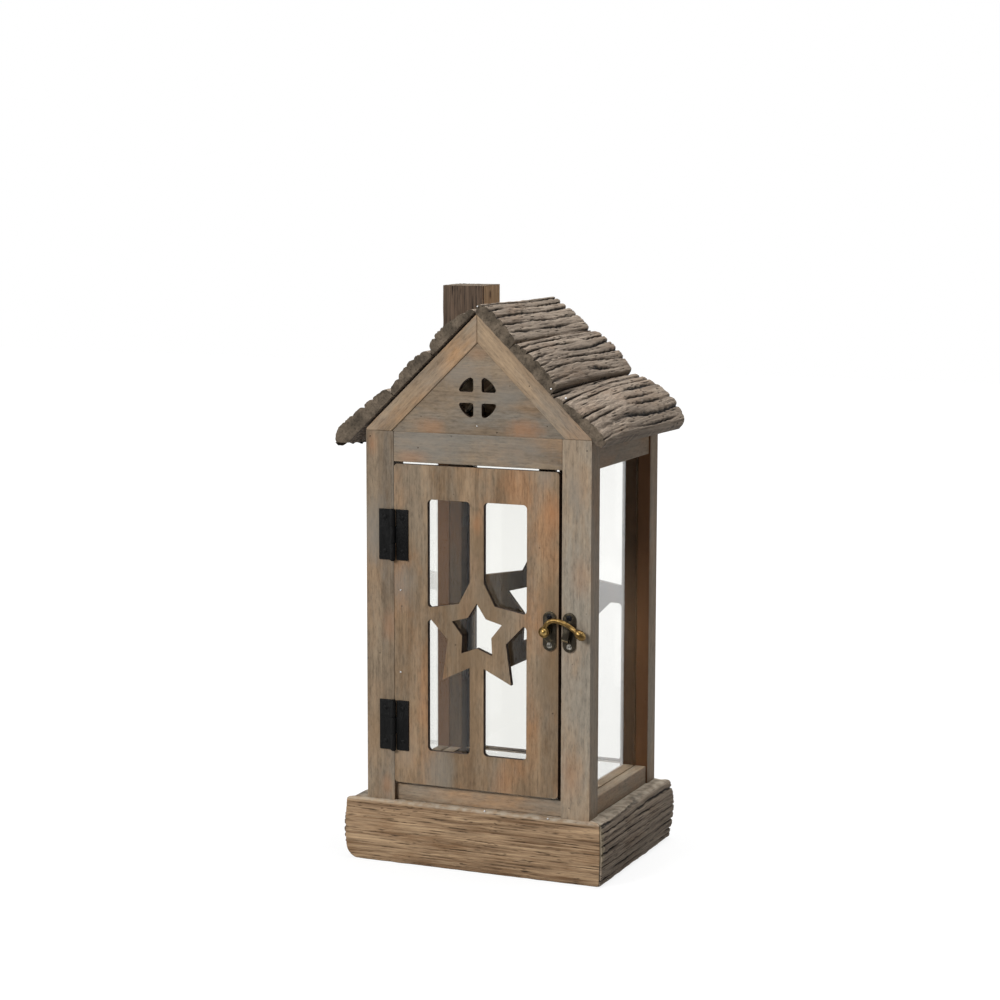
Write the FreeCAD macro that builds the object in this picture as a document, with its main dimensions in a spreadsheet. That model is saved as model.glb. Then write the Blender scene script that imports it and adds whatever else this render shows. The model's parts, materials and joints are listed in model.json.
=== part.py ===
import FreeCAD, Part
import math
import os
import re

# A small house-shaped candle lantern: four rough boards round the foot, four posts and
# eight rails, glass in the sides, a fretwork back and a hinged fretwork door, gables with
# a round vent, six bark planks on the rafters and a square chimney block.
# Frame: +X to the viewer's right, +Y to the back, +Z up, origin on the ground under the
# middle of the whole outline. Millimetres.

SIZES = [
    # the box of the house
    ("body_wide", 170.3),            # outside of left post to outside of right post
    ("body_deep", 133.2),            # front face of posts to back face
    ("front_plane", 65.0),           # the posts' front face stands this far before the origin
    ("post_wide", 21.3),
    ("post_deep", 16.0),
    ("post_tall", 264.7),
    # rough boards round the foot
    ("base_tall", 45.0),
    ("base_board_thick", 24.0),
    ("base_lip_front", 4.5),         # how far the foot stands out past the posts
    ("base_lip_back", 3.4),
    ("base_lip_left", 12.5),
    ("base_lip_right", 9.4),
    ("base_bulge_side", 3.4),        # belly of the bark faces
    ("base_bulge_front", 1.0),
    ("mitre_gap", 0.15),
    # rails between the posts
    ("side_rail_tall", 13.0),
    ("side_rail_setback", 1.1),
    ("sill_tall", 11.5),
    ("sill_setback", 3.5),
    ("front_rail_deep", 12.0),
    ("lintel_tall", 21.2),
    # floor
    ("plate_thick", 0.6),
    ("floor_board_thick", 11.4),
    ("floor_gap", 0.1),
    # glass
    ("glass_thick", 2.0),
    ("glass_slack", 0.15),           # play of a pane in its groove
    ("groove_depth", 4.0),
    ("rail_groove_depth", 3.0),
    ("pane_lap", 7.0),               # the door pane laps this far over the wood
    ("clip_wide", 8.0),
    ("clip_reach", 5.0),
    ("clip_thick", 0.8),
    ("back_clip_spread", 58.0),      # of a clip above or below the pane's middle
    ("door_clip_spread", 58.0),
    # fretwork boards
    ("fret_thick", 4.0),
    ("fret_corner", 3.0),            # rounding in the corners of the windows
    ("rebate_wide", 6.0),            # the back board lies this far over posts and rails
    ("rebate_slack", 0.2),
    # door
    ("door_gap_hinge", 0.3),
    ("door_gap_latch", 2.3),
    ("door_gap_top", 1.5),
    ("door_gap_bottom", 2.0),
    ("door_corner", 2.5),
    ("door_muntin", 10.6),
    ("door_stile_hinge", 25.9),      # wood beside, under and over the windows
    ("door_stile_latch", 23.8),
    ("door_bottom_rail", 25.0),
    ("door_top_rail", 24.0),
    ("door_star_drop", 1.05),        # the star's middle lies this far under the door's
    ("door_bar_low", 6.3),           # the bar behind the star's side points, over its middle
    ("door_bar_high", 14.6),
    ("door_star_tip", 44.5),
    ("door_star_valley", 23.3),
    ("door_hole_tip", 20.0),
    ("door_hole_valley", 11.7),
    # back board
    ("back_muntin", 13.0),
    ("back_stile", 5.85),            # wood that shows beside, under and over the windows
    ("back_bottom_rail", 1.1),
    ("back_top_rail", 6.5),
    ("back_star_drop", 4.5),
    ("back_bar_low", 7.5),
    ("back_bar_high", 19.0),
    ("back_star_tip", 64.0),
    ("back_star_valley", 33.0),
    ("back_hole_tip", 33.0),
    ("back_hole_valley", 19.2),
    # gables and rafters
    ("roof_slope", 0.97),            # rise over run
    ("rafter_heel", 1.5),            # rafter's upright thickness at the post's outer edge
    ("rafter_width", 14.6),          # square to the slope
    ("gable_setback", 1.0),
    ("gable_gap", 0.1),
    ("vent_height", 25.9),           # middle of the vent above the posts' tops
    ("vent_radius", 15.0),
    ("vent_upright", 6.2),
    ("vent_crossbar", 7.6),
    ("vent_corner", 1.6),
    # bark planks, measured along the slope from the ridge
    ("plank_front_lap", 3.0),
    ("plank_back_lap", 3.6),
    ("plank_gap", 0.6),
    ("ridge_gap", 0.3),
    ("ridge_depth", 1.3),            # height of one ridge of bark
    ("left_joint_upper", 44.5),
    ("left_joint_lower", 86.5),
    ("left_eave", 24.8),             # past the posts' outer edge
    ("right_joint_upper", 37.0),
    ("right_joint_lower", 78.5),
    ("right_eave", 15.4),
    ("left_eave_drop", 10.8),        # level saw cut under the eave, below the posts' tops
    ("right_eave_drop", 4.2),
    ("left_thick_upper", 9.8),
    ("left_thick_middle", 10.0),
    ("left_thick_lower", 14.2),
    ("right_thick_upper", 8.4),
    ("right_thick_middle", 12.2),
    ("right_thick_lower", 22.0),
    ("plank_edge_share", 0.62),      # an edge of a slab is this share of its middle
    # chimney
    ("chimney_wide", 32.0),
    ("chimney_deep", 30.0),
    ("chimney_across", 33.0),        # its middle lies this far left of the ridge
    ("chimney_along", 65.5),         # and this far behind the posts' front face
    ("chimney_rise", 17.6),          # above the rafters' ridge
    ("chimney_seat", 5.0),           # its foot is let into the planks, above the rafters
    ("chimney_gap", 0.1),
    # hinges
    ("leaf_tall", 36.0),
    ("leaf_wide", 11.2),
    ("leaf_thick", 1.0),
    ("knuckle_radius", 1.9),
    ("knuckle_clear", 0.3),
    ("pin_radius", 0.85),
    ("pin_clear", 0.05),
    ("pin_head_radius", 1.35),
    ("pin_head_thick", 0.5),
    ("hinge_low", 41.4),             # middle of a hinge from the door's foot
    ("hinge_high", 50.3),            # and from its top
    ("nail_radius", 0.75),
    ("nail_head_radius", 1.7),
    ("nail_head_tall", 0.6),
    ("nail_length", 3.0),
    ("nail_spread", 12.0),
    # latch
    ("latch_plate_wide", 9.5),
    ("latch_plate_tall", 27.6),
    ("latch_plate_thick", 1.2),
    ("latch_rise", 3.85),            # above the door's middle
    ("latch_plate_inset", 6.4),      # middle of the door plate from the door's free edge
    ("catch_plate_inset", 5.9),      # middle of the catch plate from the post's inner edge
    ("screw_radius", 1.1),
    ("screw_head_radius", 2.1),
    ("screw_head_tall", 1.0),
    ("screw_length", 2.6),
    ("screw_spread", 9.9),
    ("slot_wide", 0.5),              # cross slot in a screw's head
    ("slot_long", 2.9),
    ("slot_deep", 0.6),
    ("pivot_offset", 2.2),           # the pivot sits left of the plate's middle
    ("pivot_radius", 1.3),
    ("pivot_clear", 0.05),
    ("pivot_dome_radius", 2.7),
    ("pivot_dome_tall", 1.8),
    ("arm_stand_off", 2.1),          # boss between plate and arm
    ("boss_radius", 3.1),
    ("arm_gap", 0.15),
    ("arm_eye_radius", 3.9),
    ("arm_eye_thick", 2.6),
    ("arm_bar_radius", 1.75),
    ("arm_rise_radius", 7.6),
    ("arm_rise_turn", 97.0),
    ("arm_start_heading", 95.0),
    ("arm_fall_radius", 22.0),
    ("arm_fall_turn", 33.0),
    ("arm_tail", 8.2),
    ("knob_long", 4.6),
    ("knob_round", 3.3),
    ("catch_wide", 4.6),
    ("catch_thick", 1.8),
    ("catch_bend", 1.4),             # inner radius of the bent tongue
    ("catch_foot", 6.6),             # below the latch's middle line
    ("catch_lean", 12.0),            # degrees
    ("catch_rest_gap", 0.25),
]

doc = FreeCAD.newDocument("lantern")
sheet = doc.addObject("Spreadsheet::Sheet", "Sizes")
for row, (alias, number) in enumerate(SIZES, start=1):
    sheet.set(f"A{row}", alias)
    sheet.set(f"B{row}", str(number))
    sheet.setAlias(f"B{row}", alias)
doc.recompute()
NAMES = {alias for alias, number in SIZES}
pieces = []


def size(alias):
    return float(getattr(sheet, alias))


def bound(text):
    """Turn words in a formula into references to the sheet's cells."""
    return re.sub(r"[a-z][a-z_]*", lambda m: "Sizes." + m.group(0) if m.group(0) in NAMES else m.group(0), text)


def block(label, corner, extent):
    """A box whose corner and size follow formulas of the sheet's names."""
    box = doc.addObject("Part::Box", label)
    for side, text in zip(("Length", "Width", "Height"), extent):
        box.setExpression(side, bound(text))
    for axis, text in zip("xyz", corner):
        box.setExpression("Placement.Base." + axis, bound(text))
    return box


def rod(label, foot, radius, length, turn):
    """A cylinder from foot along the axis that turn points to."""
    cylinder = doc.addObject("Part::Cylinder", label)
    cylinder.Placement = FreeCAD.Placement(FreeCAD.Vector(), turn)
    cylinder.setExpression("Radius", bound(radius))
    cylinder.setExpression("Height", bound(length))
    for axis, text in zip("xyz", foot):
        cylinder.setExpression("Placement.Base." + axis, bound(text))
    return cylinder


def carve(label, blank, tools):
    """The blank with the tools taken out of it."""
    tool = tools[0]
    if len(tools) > 1:
        tool = doc.addObject("Part::MultiFuse", label + "_tools")
        tool.Shapes = tools
    cut = doc.addObject("Part::Cut", label)
    cut.Base = blank
    cut.Tool = tool
    return cut


def keep(piece):
    pieces.append(piece)
    return piece


def shaped(label, shape):
    """A sub-part whose shape is worked out below from the sheet's numbers."""
    feature = doc.addObject("Part::Feature", label)
    feature.Shape = shape
    feature.Placement = FreeCAD.Placement()
    return keep(feature)


TO_BACK = FreeCAD.Rotation(FreeCAD.Vector(1, 0, 0), -90)
OVER = 1.0                           # a cutting tool stands this far out of what it cuts

# ------------------------------------------------------------------ places in plan and height
LEFT_FACE = "-body_wide / 2"
RIGHT_FACE = "body_wide / 2"
LEFT_INNER = "-body_wide / 2 + post_wide"
RIGHT_INNER = "body_wide / 2 - post_wide"
FRONT = "-front_plane"
BACK = "body_deep - front_plane"
OPENING_WIDE = "body_wide - 2 * post_wide"
OPENING_DEEP = "body_deep - 2 * post_deep"
GROOVE_WIDE = "glass_thick + 2 * glass_slack"
LEFT_GROOVE = "-body_wide / 2 + post_wide / 2 - glass_thick / 2 - glass_slack"
RIGHT_GROOVE = "body_wide / 2 - post_wide / 2 - glass_thick / 2 - glass_slack"
half_body = size("body_wide") / 2
inner = half_body - size("post_wide")
front = -size("front_plane")
back = front + size("body_deep")
ledge = size("base_tall")
post_top = ledge + size("post_tall")
lintel_foot = post_top - size("lintel_tall")


# ------------------------------------------------------------------ outlines
def outline(points):
    """A closed face in the XZ plane. A point is (x, z), or (x, z, via_x, via_z) for an arc."""
    edges = []
    for index, point in enumerate(points):
        last = points[index - 1]
        start = FreeCAD.Vector(last[0], 0, last[1])
        end = FreeCAD.Vector(point[0], 0, point[1])
        if len(point) == 4:
            via = FreeCAD.Vector(point[2], 0, point[3])
            edges.append(Part.Arc(start, via, end).toShape())
        elif (end - start).Length > 1e-6:
            edges.append(Part.LineSegment(start, end).toShape())
    return Part.Face(Part.Wire(edges))


def board(points, near, far):
    """An outline in XZ given its thickness from y = near to y = far."""
    face = outline(points)
    face.translate(FreeCAD.Vector(0, near, 0))
    return face.extrude(FreeCAD.Vector(0, far - near, 0))


def rounded(left, low, right, high, radius):
    """Points of a rectangle with rounded corners."""
    dip = radius * (1 - math.sqrt(0.5))
    return [
        (left + radius, low, left + dip, low + dip),
        (right - radius, low),
        (right, low + radius, right - dip, low + dip),
        (right, high - radius),
        (right - radius, high, right - dip, high - dip),
        (left + radius, high),
        (left, high - radius, left + dip, high - dip),
        (left, low + radius),
    ]


def star(middle_x, middle_z, tip, valley):
    """Points of a five-pointed star, one point up."""
    corners = []
    for index in range(10):
        reach = tip if index % 2 == 0 else valley
        angle = math.radians(90 + 36 * index)
        corners.append((middle_x + reach * math.cos(angle), middle_z + reach * math.sin(angle)))
    return corners


def cylinder_along(start, direction, radius, length):
    return Part.makeCylinder(radius, length, FreeCAD.Vector(*start), FreeCAD.Vector(*direction))


def dome(centre, radius, tall):
    """A low cap that bulges towards -Y from a flat back at the centre."""
    ball = (radius ** 2 + tall ** 2) / (2 * tall)
    cap = Part.makeSphere(ball, FreeCAD.Vector(centre[0], centre[1] - tall + ball, centre[2]))
    slab = Part.makeBox(4 * ball, tall, 4 * ball)
    slab.translate(FreeCAD.Vector(centre[0] - 2 * ball, centre[1] - tall, centre[2] - 2 * ball))
    return cap.common(slab)


# ------------------------------------------------------------------ foot of four bark boards
base_left = -half_body - size("base_lip_left")
base_right = half_body + size("base_lip_right")
base_front = front - size("base_lip_front")
base_back = back + size("base_lip_back")
thick = size("base_board_thick")
spare = 2 * size("base_bulge_side") + thick


def belly(outer, inner_side, bulge):
    """Cross-section of a foot board: flat inside, bellied outside."""
    middle = ledge / 2
    return [(inner_side, 0), (outer, 0), (outer, ledge, outer + bulge, middle), (inner_side, ledge)]


def mitred(solid, corner_a, corner_b, inward):
    """Keep what lies between the two 45 degree planes through the outer corners."""
    gap = size("mitre_gap") / 2
    along = FreeCAD.Vector(corner_b[0] - corner_a[0], corner_b[1] - corner_a[1], 0)
    along.normalize()
    into = FreeCAD.Vector(inward[0], inward[1], 0)
    first = FreeCAD.Vector(corner_a[0], corner_a[1], 0) + along * gap
    second = FreeCAD.Vector(corner_b[0], corner_b[1], 0) - along * gap
    corners = [
        first - into * spare - along * spare,
        second - into * spare + along * spare,
        second + into * thick - along * thick,
        first + into * thick + along * thick,
    ]
    wedge = Part.Face(Part.makePolygon(corners + corners[:1]))
    return solid.common(wedge.extrude(FreeCAD.Vector(0, 0, ledge)))


side_span = base_back - base_front
for side, outer, sign in (("left", base_left, -1), ("right", base_right, 1)):
    profile = belly(outer, outer - sign * thick, sign * size("base_bulge_side"))
    plain = board(profile, base_front - spare, base_back + spare)
    shaped(f"base_{side}_board", mitred(plain, (outer, base_front), (outer, base_back), (-sign, 0)))
for side, outer, sign in (("front", base_front, -1), ("back", base_back, 1)):
    profile = belly(outer, outer - sign * thick, sign * size("base_bulge_front"))
    plain = board(profile, base_left - spare, base_right + spare)
    plain.rotate(FreeCAD.Vector(), FreeCAD.Vector(0, 0, 1), 90)
    shaped(f"base_{side}_board", mitred(plain, (base_left, outer), (base_right, outer), (0, -sign)))

# ------------------------------------------------------------------ posts
DOOR_LOW = "base_tall + sill_tall + door_gap_bottom"
DOOR_HIGH = "base_tall + post_tall - lintel_tall - door_gap_top"
nail_places = []
for hinge in (f"{DOOR_LOW} + hinge_low", f"{DOOR_HIGH} - hinge_high"):
    for way in ("-", "+"):
        nail_places.append(f"{hinge} {way} nail_spread")
HINGE_X = "(-body_wide / 2 + post_wide + door_gap_hinge / 2)"
LEAF_MIDDLE = "(knuckle_radius + knuckle_clear + leaf_wide) / 2"
LATCH_Z = f"({DOOR_LOW} + {DOOR_HIGH}) / 2 + latch_rise"
CATCH_X = "(body_wide / 2 - post_wide + catch_plate_inset)"

for end, y_post, y_groove in (
    ("front", FRONT, "-front_plane + post_deep - groove_depth"),
    ("back", "body_deep - front_plane - post_deep", "body_deep - front_plane - post_deep"),
):
    for side, x_post, x_groove, x_rebate in (
        ("left", LEFT_FACE, LEFT_GROOVE, "-body_wide / 2 + post_wide - rebate_wide - rebate_slack"),
        ("right", RIGHT_INNER, RIGHT_GROOVE, RIGHT_INNER),
    ):
        name = f"post_{end}_{side}"
        blank = block(name + "_blank", (x_post, y_post, "base_tall"), ("post_wide", "post_deep", "post_tall"))
        foot = "base_tall + side_rail_tall - rail_groove_depth"
        tall = "post_tall - side_rail_tall - lintel_tall + 2 * rail_groove_depth"
        tools = [block(name + "_groove", (x_groove, y_groove, foot), (GROOVE_WIDE, "groove_depth", tall))]
        if end == "back":
            low = "base_tall + sill_tall - rebate_wide - rebate_slack"
            high = "post_tall - lintel_tall - sill_tall + 2 * rebate_wide + 2 * rebate_slack"
            y_rebate = "body_deep - front_plane - fret_thick"
            wide = "rebate_wide + rebate_slack"
            tools.append(block(name + "_rebate", (x_rebate, y_rebate, low), (wide, "fret_thick", high)))
        elif side == "left":
            for number, height in enumerate(nail_places):
                spot = (f"{HINGE_X} - {LEAF_MIDDLE}", FRONT, height)
                tools.append(rod(f"{name}_nail_hole_{number}", spot, "nail_radius", "nail_length", TO_BACK))
        else:
            for number, way in enumerate(("-", "+")):
                spot = (CATCH_X, FRONT, f"{LATCH_Z} {way} screw_spread")
                tools.append(rod(f"{name}_screw_hole_{number}", spot, "screw_radius", "screw_length", TO_BACK))
        keep(carve(name, blank, tools))

# ------------------------------------------------------------------ rails
RAIL_WIDE = "post_wide - side_rail_setback"
for side, x_rail, x_groove in (
    ("left", "-body_wide / 2 + side_rail_setback", LEFT_GROOVE),
    ("right", RIGHT_INNER, RIGHT_GROOVE),
):
    for level, foot, tall, z_groove in (
        ("lower", "base_tall", "side_rail_tall", "base_tall + side_rail_tall - rail_groove_depth"),
        ("upper", "base_tall + post_tall - lintel_tall", "lintel_tall", "base_tall + post_tall - lintel_tall"),
    ):
        name = f"rail_{side}_{level}"
        y_rail = "-front_plane + post_deep"
        blank = block(name + "_blank", (x_rail, y_rail, foot), (RAIL_WIDE, OPENING_DEEP, tall))
        groove = block(name + "_groove", (x_groove, y_rail, z_groove),
                       (GROOVE_WIDE, OPENING_DEEP, "rail_groove_depth"))
        keep(carve(name, blank, [groove]))

keep(block("rail_front_lower", (LEFT_INNER, "-front_plane + sill_setback", "base_tall"),
           (OPENING_WIDE, "front_rail_deep", "sill_tall")))
keep(block("rail_front_upper", (LEFT_INNER, FRONT, "base_tall + post_tall - lintel_tall"),
           (OPENING_WIDE, "front_rail_deep", "lintel_tall")))
Y_BACK_RAIL = "body_deep - front_plane - front_rail_deep"
Y_REBATE = "body_deep - front_plane - fret_thick"
for level, foot, tall, z_rebate in (
    ("lower", "base_tall", "sill_tall", "base_tall + sill_tall - rebate_wide - rebate_slack"),
    ("upper", "base_tall + post_tall - lintel_tall", "lintel_tall", "base_tall + post_tall - lintel_tall"),
):
    name = f"rail_back_{level}"
    blank = block(name + "_blank", (LEFT_INNER, Y_BACK_RAIL, foot), (OPENING_WIDE, "front_rail_deep", tall))
    rebate = block(name + "_rebate", (LEFT_INNER, Y_REBATE, z_rebate),
                   (OPENING_WIDE, "fret_thick", "rebate_wide + rebate_slack"))
    keep(carve(name, blank, [rebate]))

# ------------------------------------------------------------------ floor
FLOOR_FRONT = "-front_plane + sill_setback + front_rail_deep + floor_gap"
FLOOR_DEEP = "body_deep - sill_setback - 2 * front_rail_deep - 2 * floor_gap"
FLOOR_LEFT = "-body_wide / 2 + post_wide + floor_gap"
FLOOR_WIDE = "body_wide - 2 * post_wide - 2 * floor_gap"
keep(block("floor_board", (FLOOR_LEFT, FLOOR_FRONT, "base_tall"),
           (FLOOR_WIDE, FLOOR_DEEP, "floor_board_thick")))
keep(block("floor_plate", (FLOOR_LEFT, FLOOR_FRONT, "base_tall + floor_board_thick"),
           (FLOOR_WIDE, FLOOR_DEEP, "plate_thick")))

# ------------------------------------------------------------------ side panes and back pane
PANE_DEEP = "body_deep - 2 * post_deep + 2 * groove_depth - 2 * glass_slack"
PANE_TALL = "post_tall - side_rail_tall - lintel_tall + 2 * rail_groove_depth - 2 * glass_slack"
for side, middle in (("left", "-body_wide / 2 + post_wide / 2"), ("right", "body_wide / 2 - post_wide / 2")):
    keep(block(f"glass_{side}",
               (f"{middle} - glass_thick / 2", "-front_plane + post_deep - groove_depth + glass_slack",
                "base_tall + side_rail_tall - rail_groove_depth"),
               ("glass_thick", PANE_DEEP, PANE_TALL)))
keep(block("glass_back",
           ("-body_wide / 2 + post_wide + glass_slack", "body_deep - front_plane - fret_thick - glass_thick",
            "base_tall + sill_tall"),
           ("body_wide - 2 * post_wide - 2 * glass_slack", "glass_thick",
            "post_tall - sill_tall - lintel_tall - glass_slack")))

clip_thick = size("clip_thick")
clip_wide = size("clip_wide")
pane_front = back - size("fret_thick") - size("glass_thick")
back_clips = []
for sign in (-1, 1):
    for way in (-1, 1):
        middle = (ledge + size("sill_tall") + lintel_foot) / 2 + way * size("back_clip_spread")
        wall = Part.makeBox(clip_thick, clip_wide, clip_wide)
        wall.translate(FreeCAD.Vector(sign * (inner - clip_thick / 2) - clip_thick / 2, pane_front - clip_wide,
                                      middle - clip_wide / 2))
        finger = Part.makeBox(size("clip_reach"), clip_thick, clip_wide)
        reach_to = sign * (inner - size("clip_reach") / 2) - size("clip_reach") / 2
        finger.translate(FreeCAD.Vector(reach_to, pane_front - clip_thick, middle - clip_wide / 2))
        back_clips.append(wall.fuse(finger).removeSplitter())
shaped("glass_back_clips", Part.makeCompound(back_clips))


# ------------------------------------------------------------------ fretwork boards
def fretwork(edge, window, near):
    """A board with four windows, a star over their bars and a star-shaped hole."""
    far = near + size("fret_thick")
    plain = board(edge, near, far)
    over = (near - OVER, far + OVER)
    half_bar = window["muntin"] / 2
    middle = window["star"]
    openings = []
    for left, right in ((window["left"], -half_bar), (half_bar, window["right"])):
        for low, high in ((window["foot"], middle + window["bar_low"]), (middle + window["bar_high"], window["head"])):
            openings.append(board(rounded(left, low, right, high, size("fret_corner")), *over))
    whole_star = board(star(0, middle, window["star_tip"], window["star_valley"]), *over)
    hole = board(star(0, middle, window["hole_tip"], window["hole_valley"]), *over)
    tools = [opening.cut(whole_star) for opening in openings] + [hole]
    for tool in tools:
        plain = plain.cut(tool)
    return plain


door_left = -inner + size("door_gap_hinge")
door_right = inner - size("door_gap_latch")
door_low = ledge + size("sill_tall") + size("door_gap_bottom")
door_high = lintel_foot - size("door_gap_top")
door_middle = (door_low + door_high) / 2
back_foot = ledge + size("sill_tall")
FROM_SHEET = ("muntin", "bar_low", "bar_high", "star_tip", "star_valley", "hole_tip", "hole_valley")
door_window = {key: size(f"door_{key}") for key in FROM_SHEET}
door_window["left"] = door_left + size("door_stile_hinge")
door_window["right"] = door_right - size("door_stile_latch")
door_window["foot"] = door_low + size("door_bottom_rail")
door_window["head"] = door_high - size("door_top_rail")
door_window["star"] = door_middle - size("door_star_drop")
back_window = {key: size(f"back_{key}") for key in FROM_SHEET}
back_window["left"] = -inner + size("back_stile")
back_window["right"] = inner - size("back_stile")
back_window["foot"] = back_foot + size("back_bottom_rail")
back_window["head"] = lintel_foot - size("back_top_rail")
back_window["star"] = (back_foot + lintel_foot) / 2 - size("back_star_drop")
hinge_x = -inner + size("door_gap_hinge") / 2
hinge_y = front - size("knuckle_radius") - size("knuckle_clear")
leaf_start = size("knuckle_radius") + size("knuckle_clear")
leaf_middle = (leaf_start + size("leaf_wide")) / 2
hinge_levels = [door_low + size("hinge_low"), door_high - size("hinge_high")]
nail_levels = [level + way * size("nail_spread") for level in hinge_levels for way in (-1, 1)]
latch_z = door_middle + size("latch_rise")
door_plate_x = door_right - size("latch_plate_inset")
catch_plate_x = inner + size("catch_plate_inset")
screw_levels = [latch_z - size("screw_spread"), latch_z + size("screw_spread")]

edge = rounded(door_left, door_low, door_right, door_high, size("door_corner"))
door = fretwork(edge, door_window, front)
leaf_x = hinge_x + leaf_middle
for across, levels, kind in ((leaf_x, nail_levels, "nail"), (door_plate_x, screw_levels, "screw")):
    for level in levels:
        hole = cylinder_along((across, front, level), (0, 1, 0), size(f"{kind}_radius"), size(f"{kind}_length"))
        door = door.cut(hole)
shaped("door_panel", door)

lap = size("rebate_wide")
edge = [(-inner - lap, back_foot - lap), (inner + lap, back_foot - lap),
        (inner + lap, lintel_foot + lap), (-inner - lap, lintel_foot + lap)]
shaped("back_panel", fretwork(edge, back_window, back - size("fret_thick")))

# ------------------------------------------------------------------ door pane and its clips
pane_lap = size("pane_lap")
pane_left = door_window["left"] - pane_lap
pane_right = door_window["right"] + pane_lap
pane_low = door_window["foot"] - pane_lap
pane_high = door_window["head"] + pane_lap
pane_near = front + size("fret_thick")
pane_far = pane_near + size("glass_thick")
edge = [(pane_left, pane_low), (pane_right, pane_low), (pane_right, pane_high), (pane_left, pane_high)]
shaped("door_glass", board(edge, pane_near, pane_far))
door_clips = []
for sign, pane_side in ((-1, pane_left), (1, pane_right)):
    for way in (-1, 1):
        middle = (pane_low + pane_high) / 2 + way * size("door_clip_spread")
        rim = sign * pane_side + size("glass_slack")
        step = [(rim + size("clip_reach"), pane_near), (rim, pane_near), (rim, pane_far),
                (rim - size("clip_reach"), pane_far), (rim - size("clip_reach"), pane_far + clip_thick),
                (rim + clip_thick, pane_far + clip_thick), (rim + clip_thick, pane_near + clip_thick),
                (rim + size("clip_reach"), pane_near + clip_thick)]
        corners = [FreeCAD.Vector(sign * x, y, middle - clip_wide / 2) for x, y in step]
        face = Part.Face(Part.makePolygon(corners + corners[:1]))
        door_clips.append(face.extrude(FreeCAD.Vector(0, 0, clip_wide)))
shaped("door_glass_clips", Part.makeCompound(door_clips))

# ------------------------------------------------------------------ gables and rafters
slope = size("roof_slope")
pitch = math.atan(slope)
apex = post_top + size("rafter_heel") + half_body * slope
rafter_drop = size("rafter_width") / math.cos(pitch)
under_apex = apex - rafter_drop
under_foot = (under_apex - post_top) / slope


def on_slope(sign, along, above):
    """Place of a point along the slope from the ridge, and square above the rafters' backs."""
    x = along * math.cos(pitch) + above * math.sin(pitch)
    z = apex - along * math.sin(pitch) + above * math.cos(pitch)
    return sign * x, z


for end, near in (("front", front), ("back", back - size("post_deep"))):
    for side, sign in (("left", -1), ("right", 1)):
        rafter = [(0, apex), (sign * half_body, post_top + size("rafter_heel")), (sign * half_body, post_top),
                  (sign * under_foot, post_top), (0, under_apex)]
        shaped(f"rafter_{end}_{side}", board(rafter, near, near + size("post_deep")))

vent_z = post_top + size("vent_height")
for end, near in (("front", front + size("gable_setback")),
                  ("back", back - size("gable_setback") - size("fret_thick"))):
    gap = size("gable_gap")
    shrink = gap / math.sin(pitch)
    far = near + size("fret_thick")
    half_foot = under_foot - shrink
    gable = board([(-half_foot, post_top), (half_foot, post_top), (0, post_top + half_foot * slope)], near, far)
    through = size("fret_thick") + 2 * OVER
    disc = cylinder_along((0, near - OVER, vent_z), (0, 1, 0), size("vent_radius"), through)
    for across in (-1, 1):
        for up in (-1, 1):
            left, right = sorted((across * size("vent_upright") / 2, across * size("vent_radius")))
            low, high = sorted((vent_z + up * size("vent_crossbar") / 2, vent_z + up * size("vent_radius")))
            quarter = board(rounded(left, low, right, high, size("vent_corner")), near - OVER, far + OVER)
            gable = gable.cut(quarter.common(disc))
    shaped(f"gable_panel_{end}", gable)

# ------------------------------------------------------------------ bark planks
RIDGES = 6


def plank_top(start, end, middle_thick, wavy):
    """Arcs over the back of a slab from its lower to its upper edge, in slope coordinates."""
    share = size("plank_edge_share")

    def height(where):
        return middle_thick * (share + (1 - share) * math.sin(math.pi * where))

    points = []
    for index in range(RIDGES):
        where = 1 - (index + 1) / RIDGES
        crest = 1 - (index + 0.5) / RIDGES
        points.append((start + (end - start) * where, height(where) - wavy,
                       start + (end - start) * crest, height(crest)))
    return points


def plank(sign, start, end, middle_thick, drop):
    """A slab on one slope; drop is the level cut under the eave, or None."""
    wavy = size("ridge_depth")
    edge_thick = middle_thick * size("plank_edge_share") - wavy
    corners = []
    if drop is None:
        corners.append(on_slope(sign, end, 0))
    else:
        level = post_top - drop
        cut_start = (apex - level) / math.sin(pitch)
        corners.append(on_slope(sign, cut_start, 0))
        run = (end - cut_start) / math.cos(pitch)
        corners.append(on_slope(sign, end, run * math.sin(pitch)))
        edge_thick = max(edge_thick, run * math.sin(pitch) + wavy)
    corners.append(on_slope(sign, end, edge_thick))
    for along, above, via_along, via_above in plank_top(start, end, middle_thick, wavy):
        corners.append(on_slope(sign, along, above) + on_slope(sign, via_along, via_above))
    corners.append(on_slope(sign, start, 0))
    near = front - size("plank_front_lap")
    return board(corners, near, back + size("plank_back_lap"))


chimney_x = -size("chimney_across")
chimney_y = front + size("chimney_along")
half_wide = size("chimney_wide") / 2
half_deep = size("chimney_deep") / 2


def chimney_block(grow):
    left = chimney_x - half_wide - grow
    right = chimney_x + half_wide + grow
    lift = (size("chimney_seat") - grow) / math.cos(pitch)
    edge = [(left, apex + left * slope + lift), (right, apex + right * slope + lift),
            (right, apex + size("chimney_rise")), (left, apex + size("chimney_rise"))]
    return board(edge, chimney_y - half_deep - grow, chimney_y + half_deep + grow)


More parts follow.
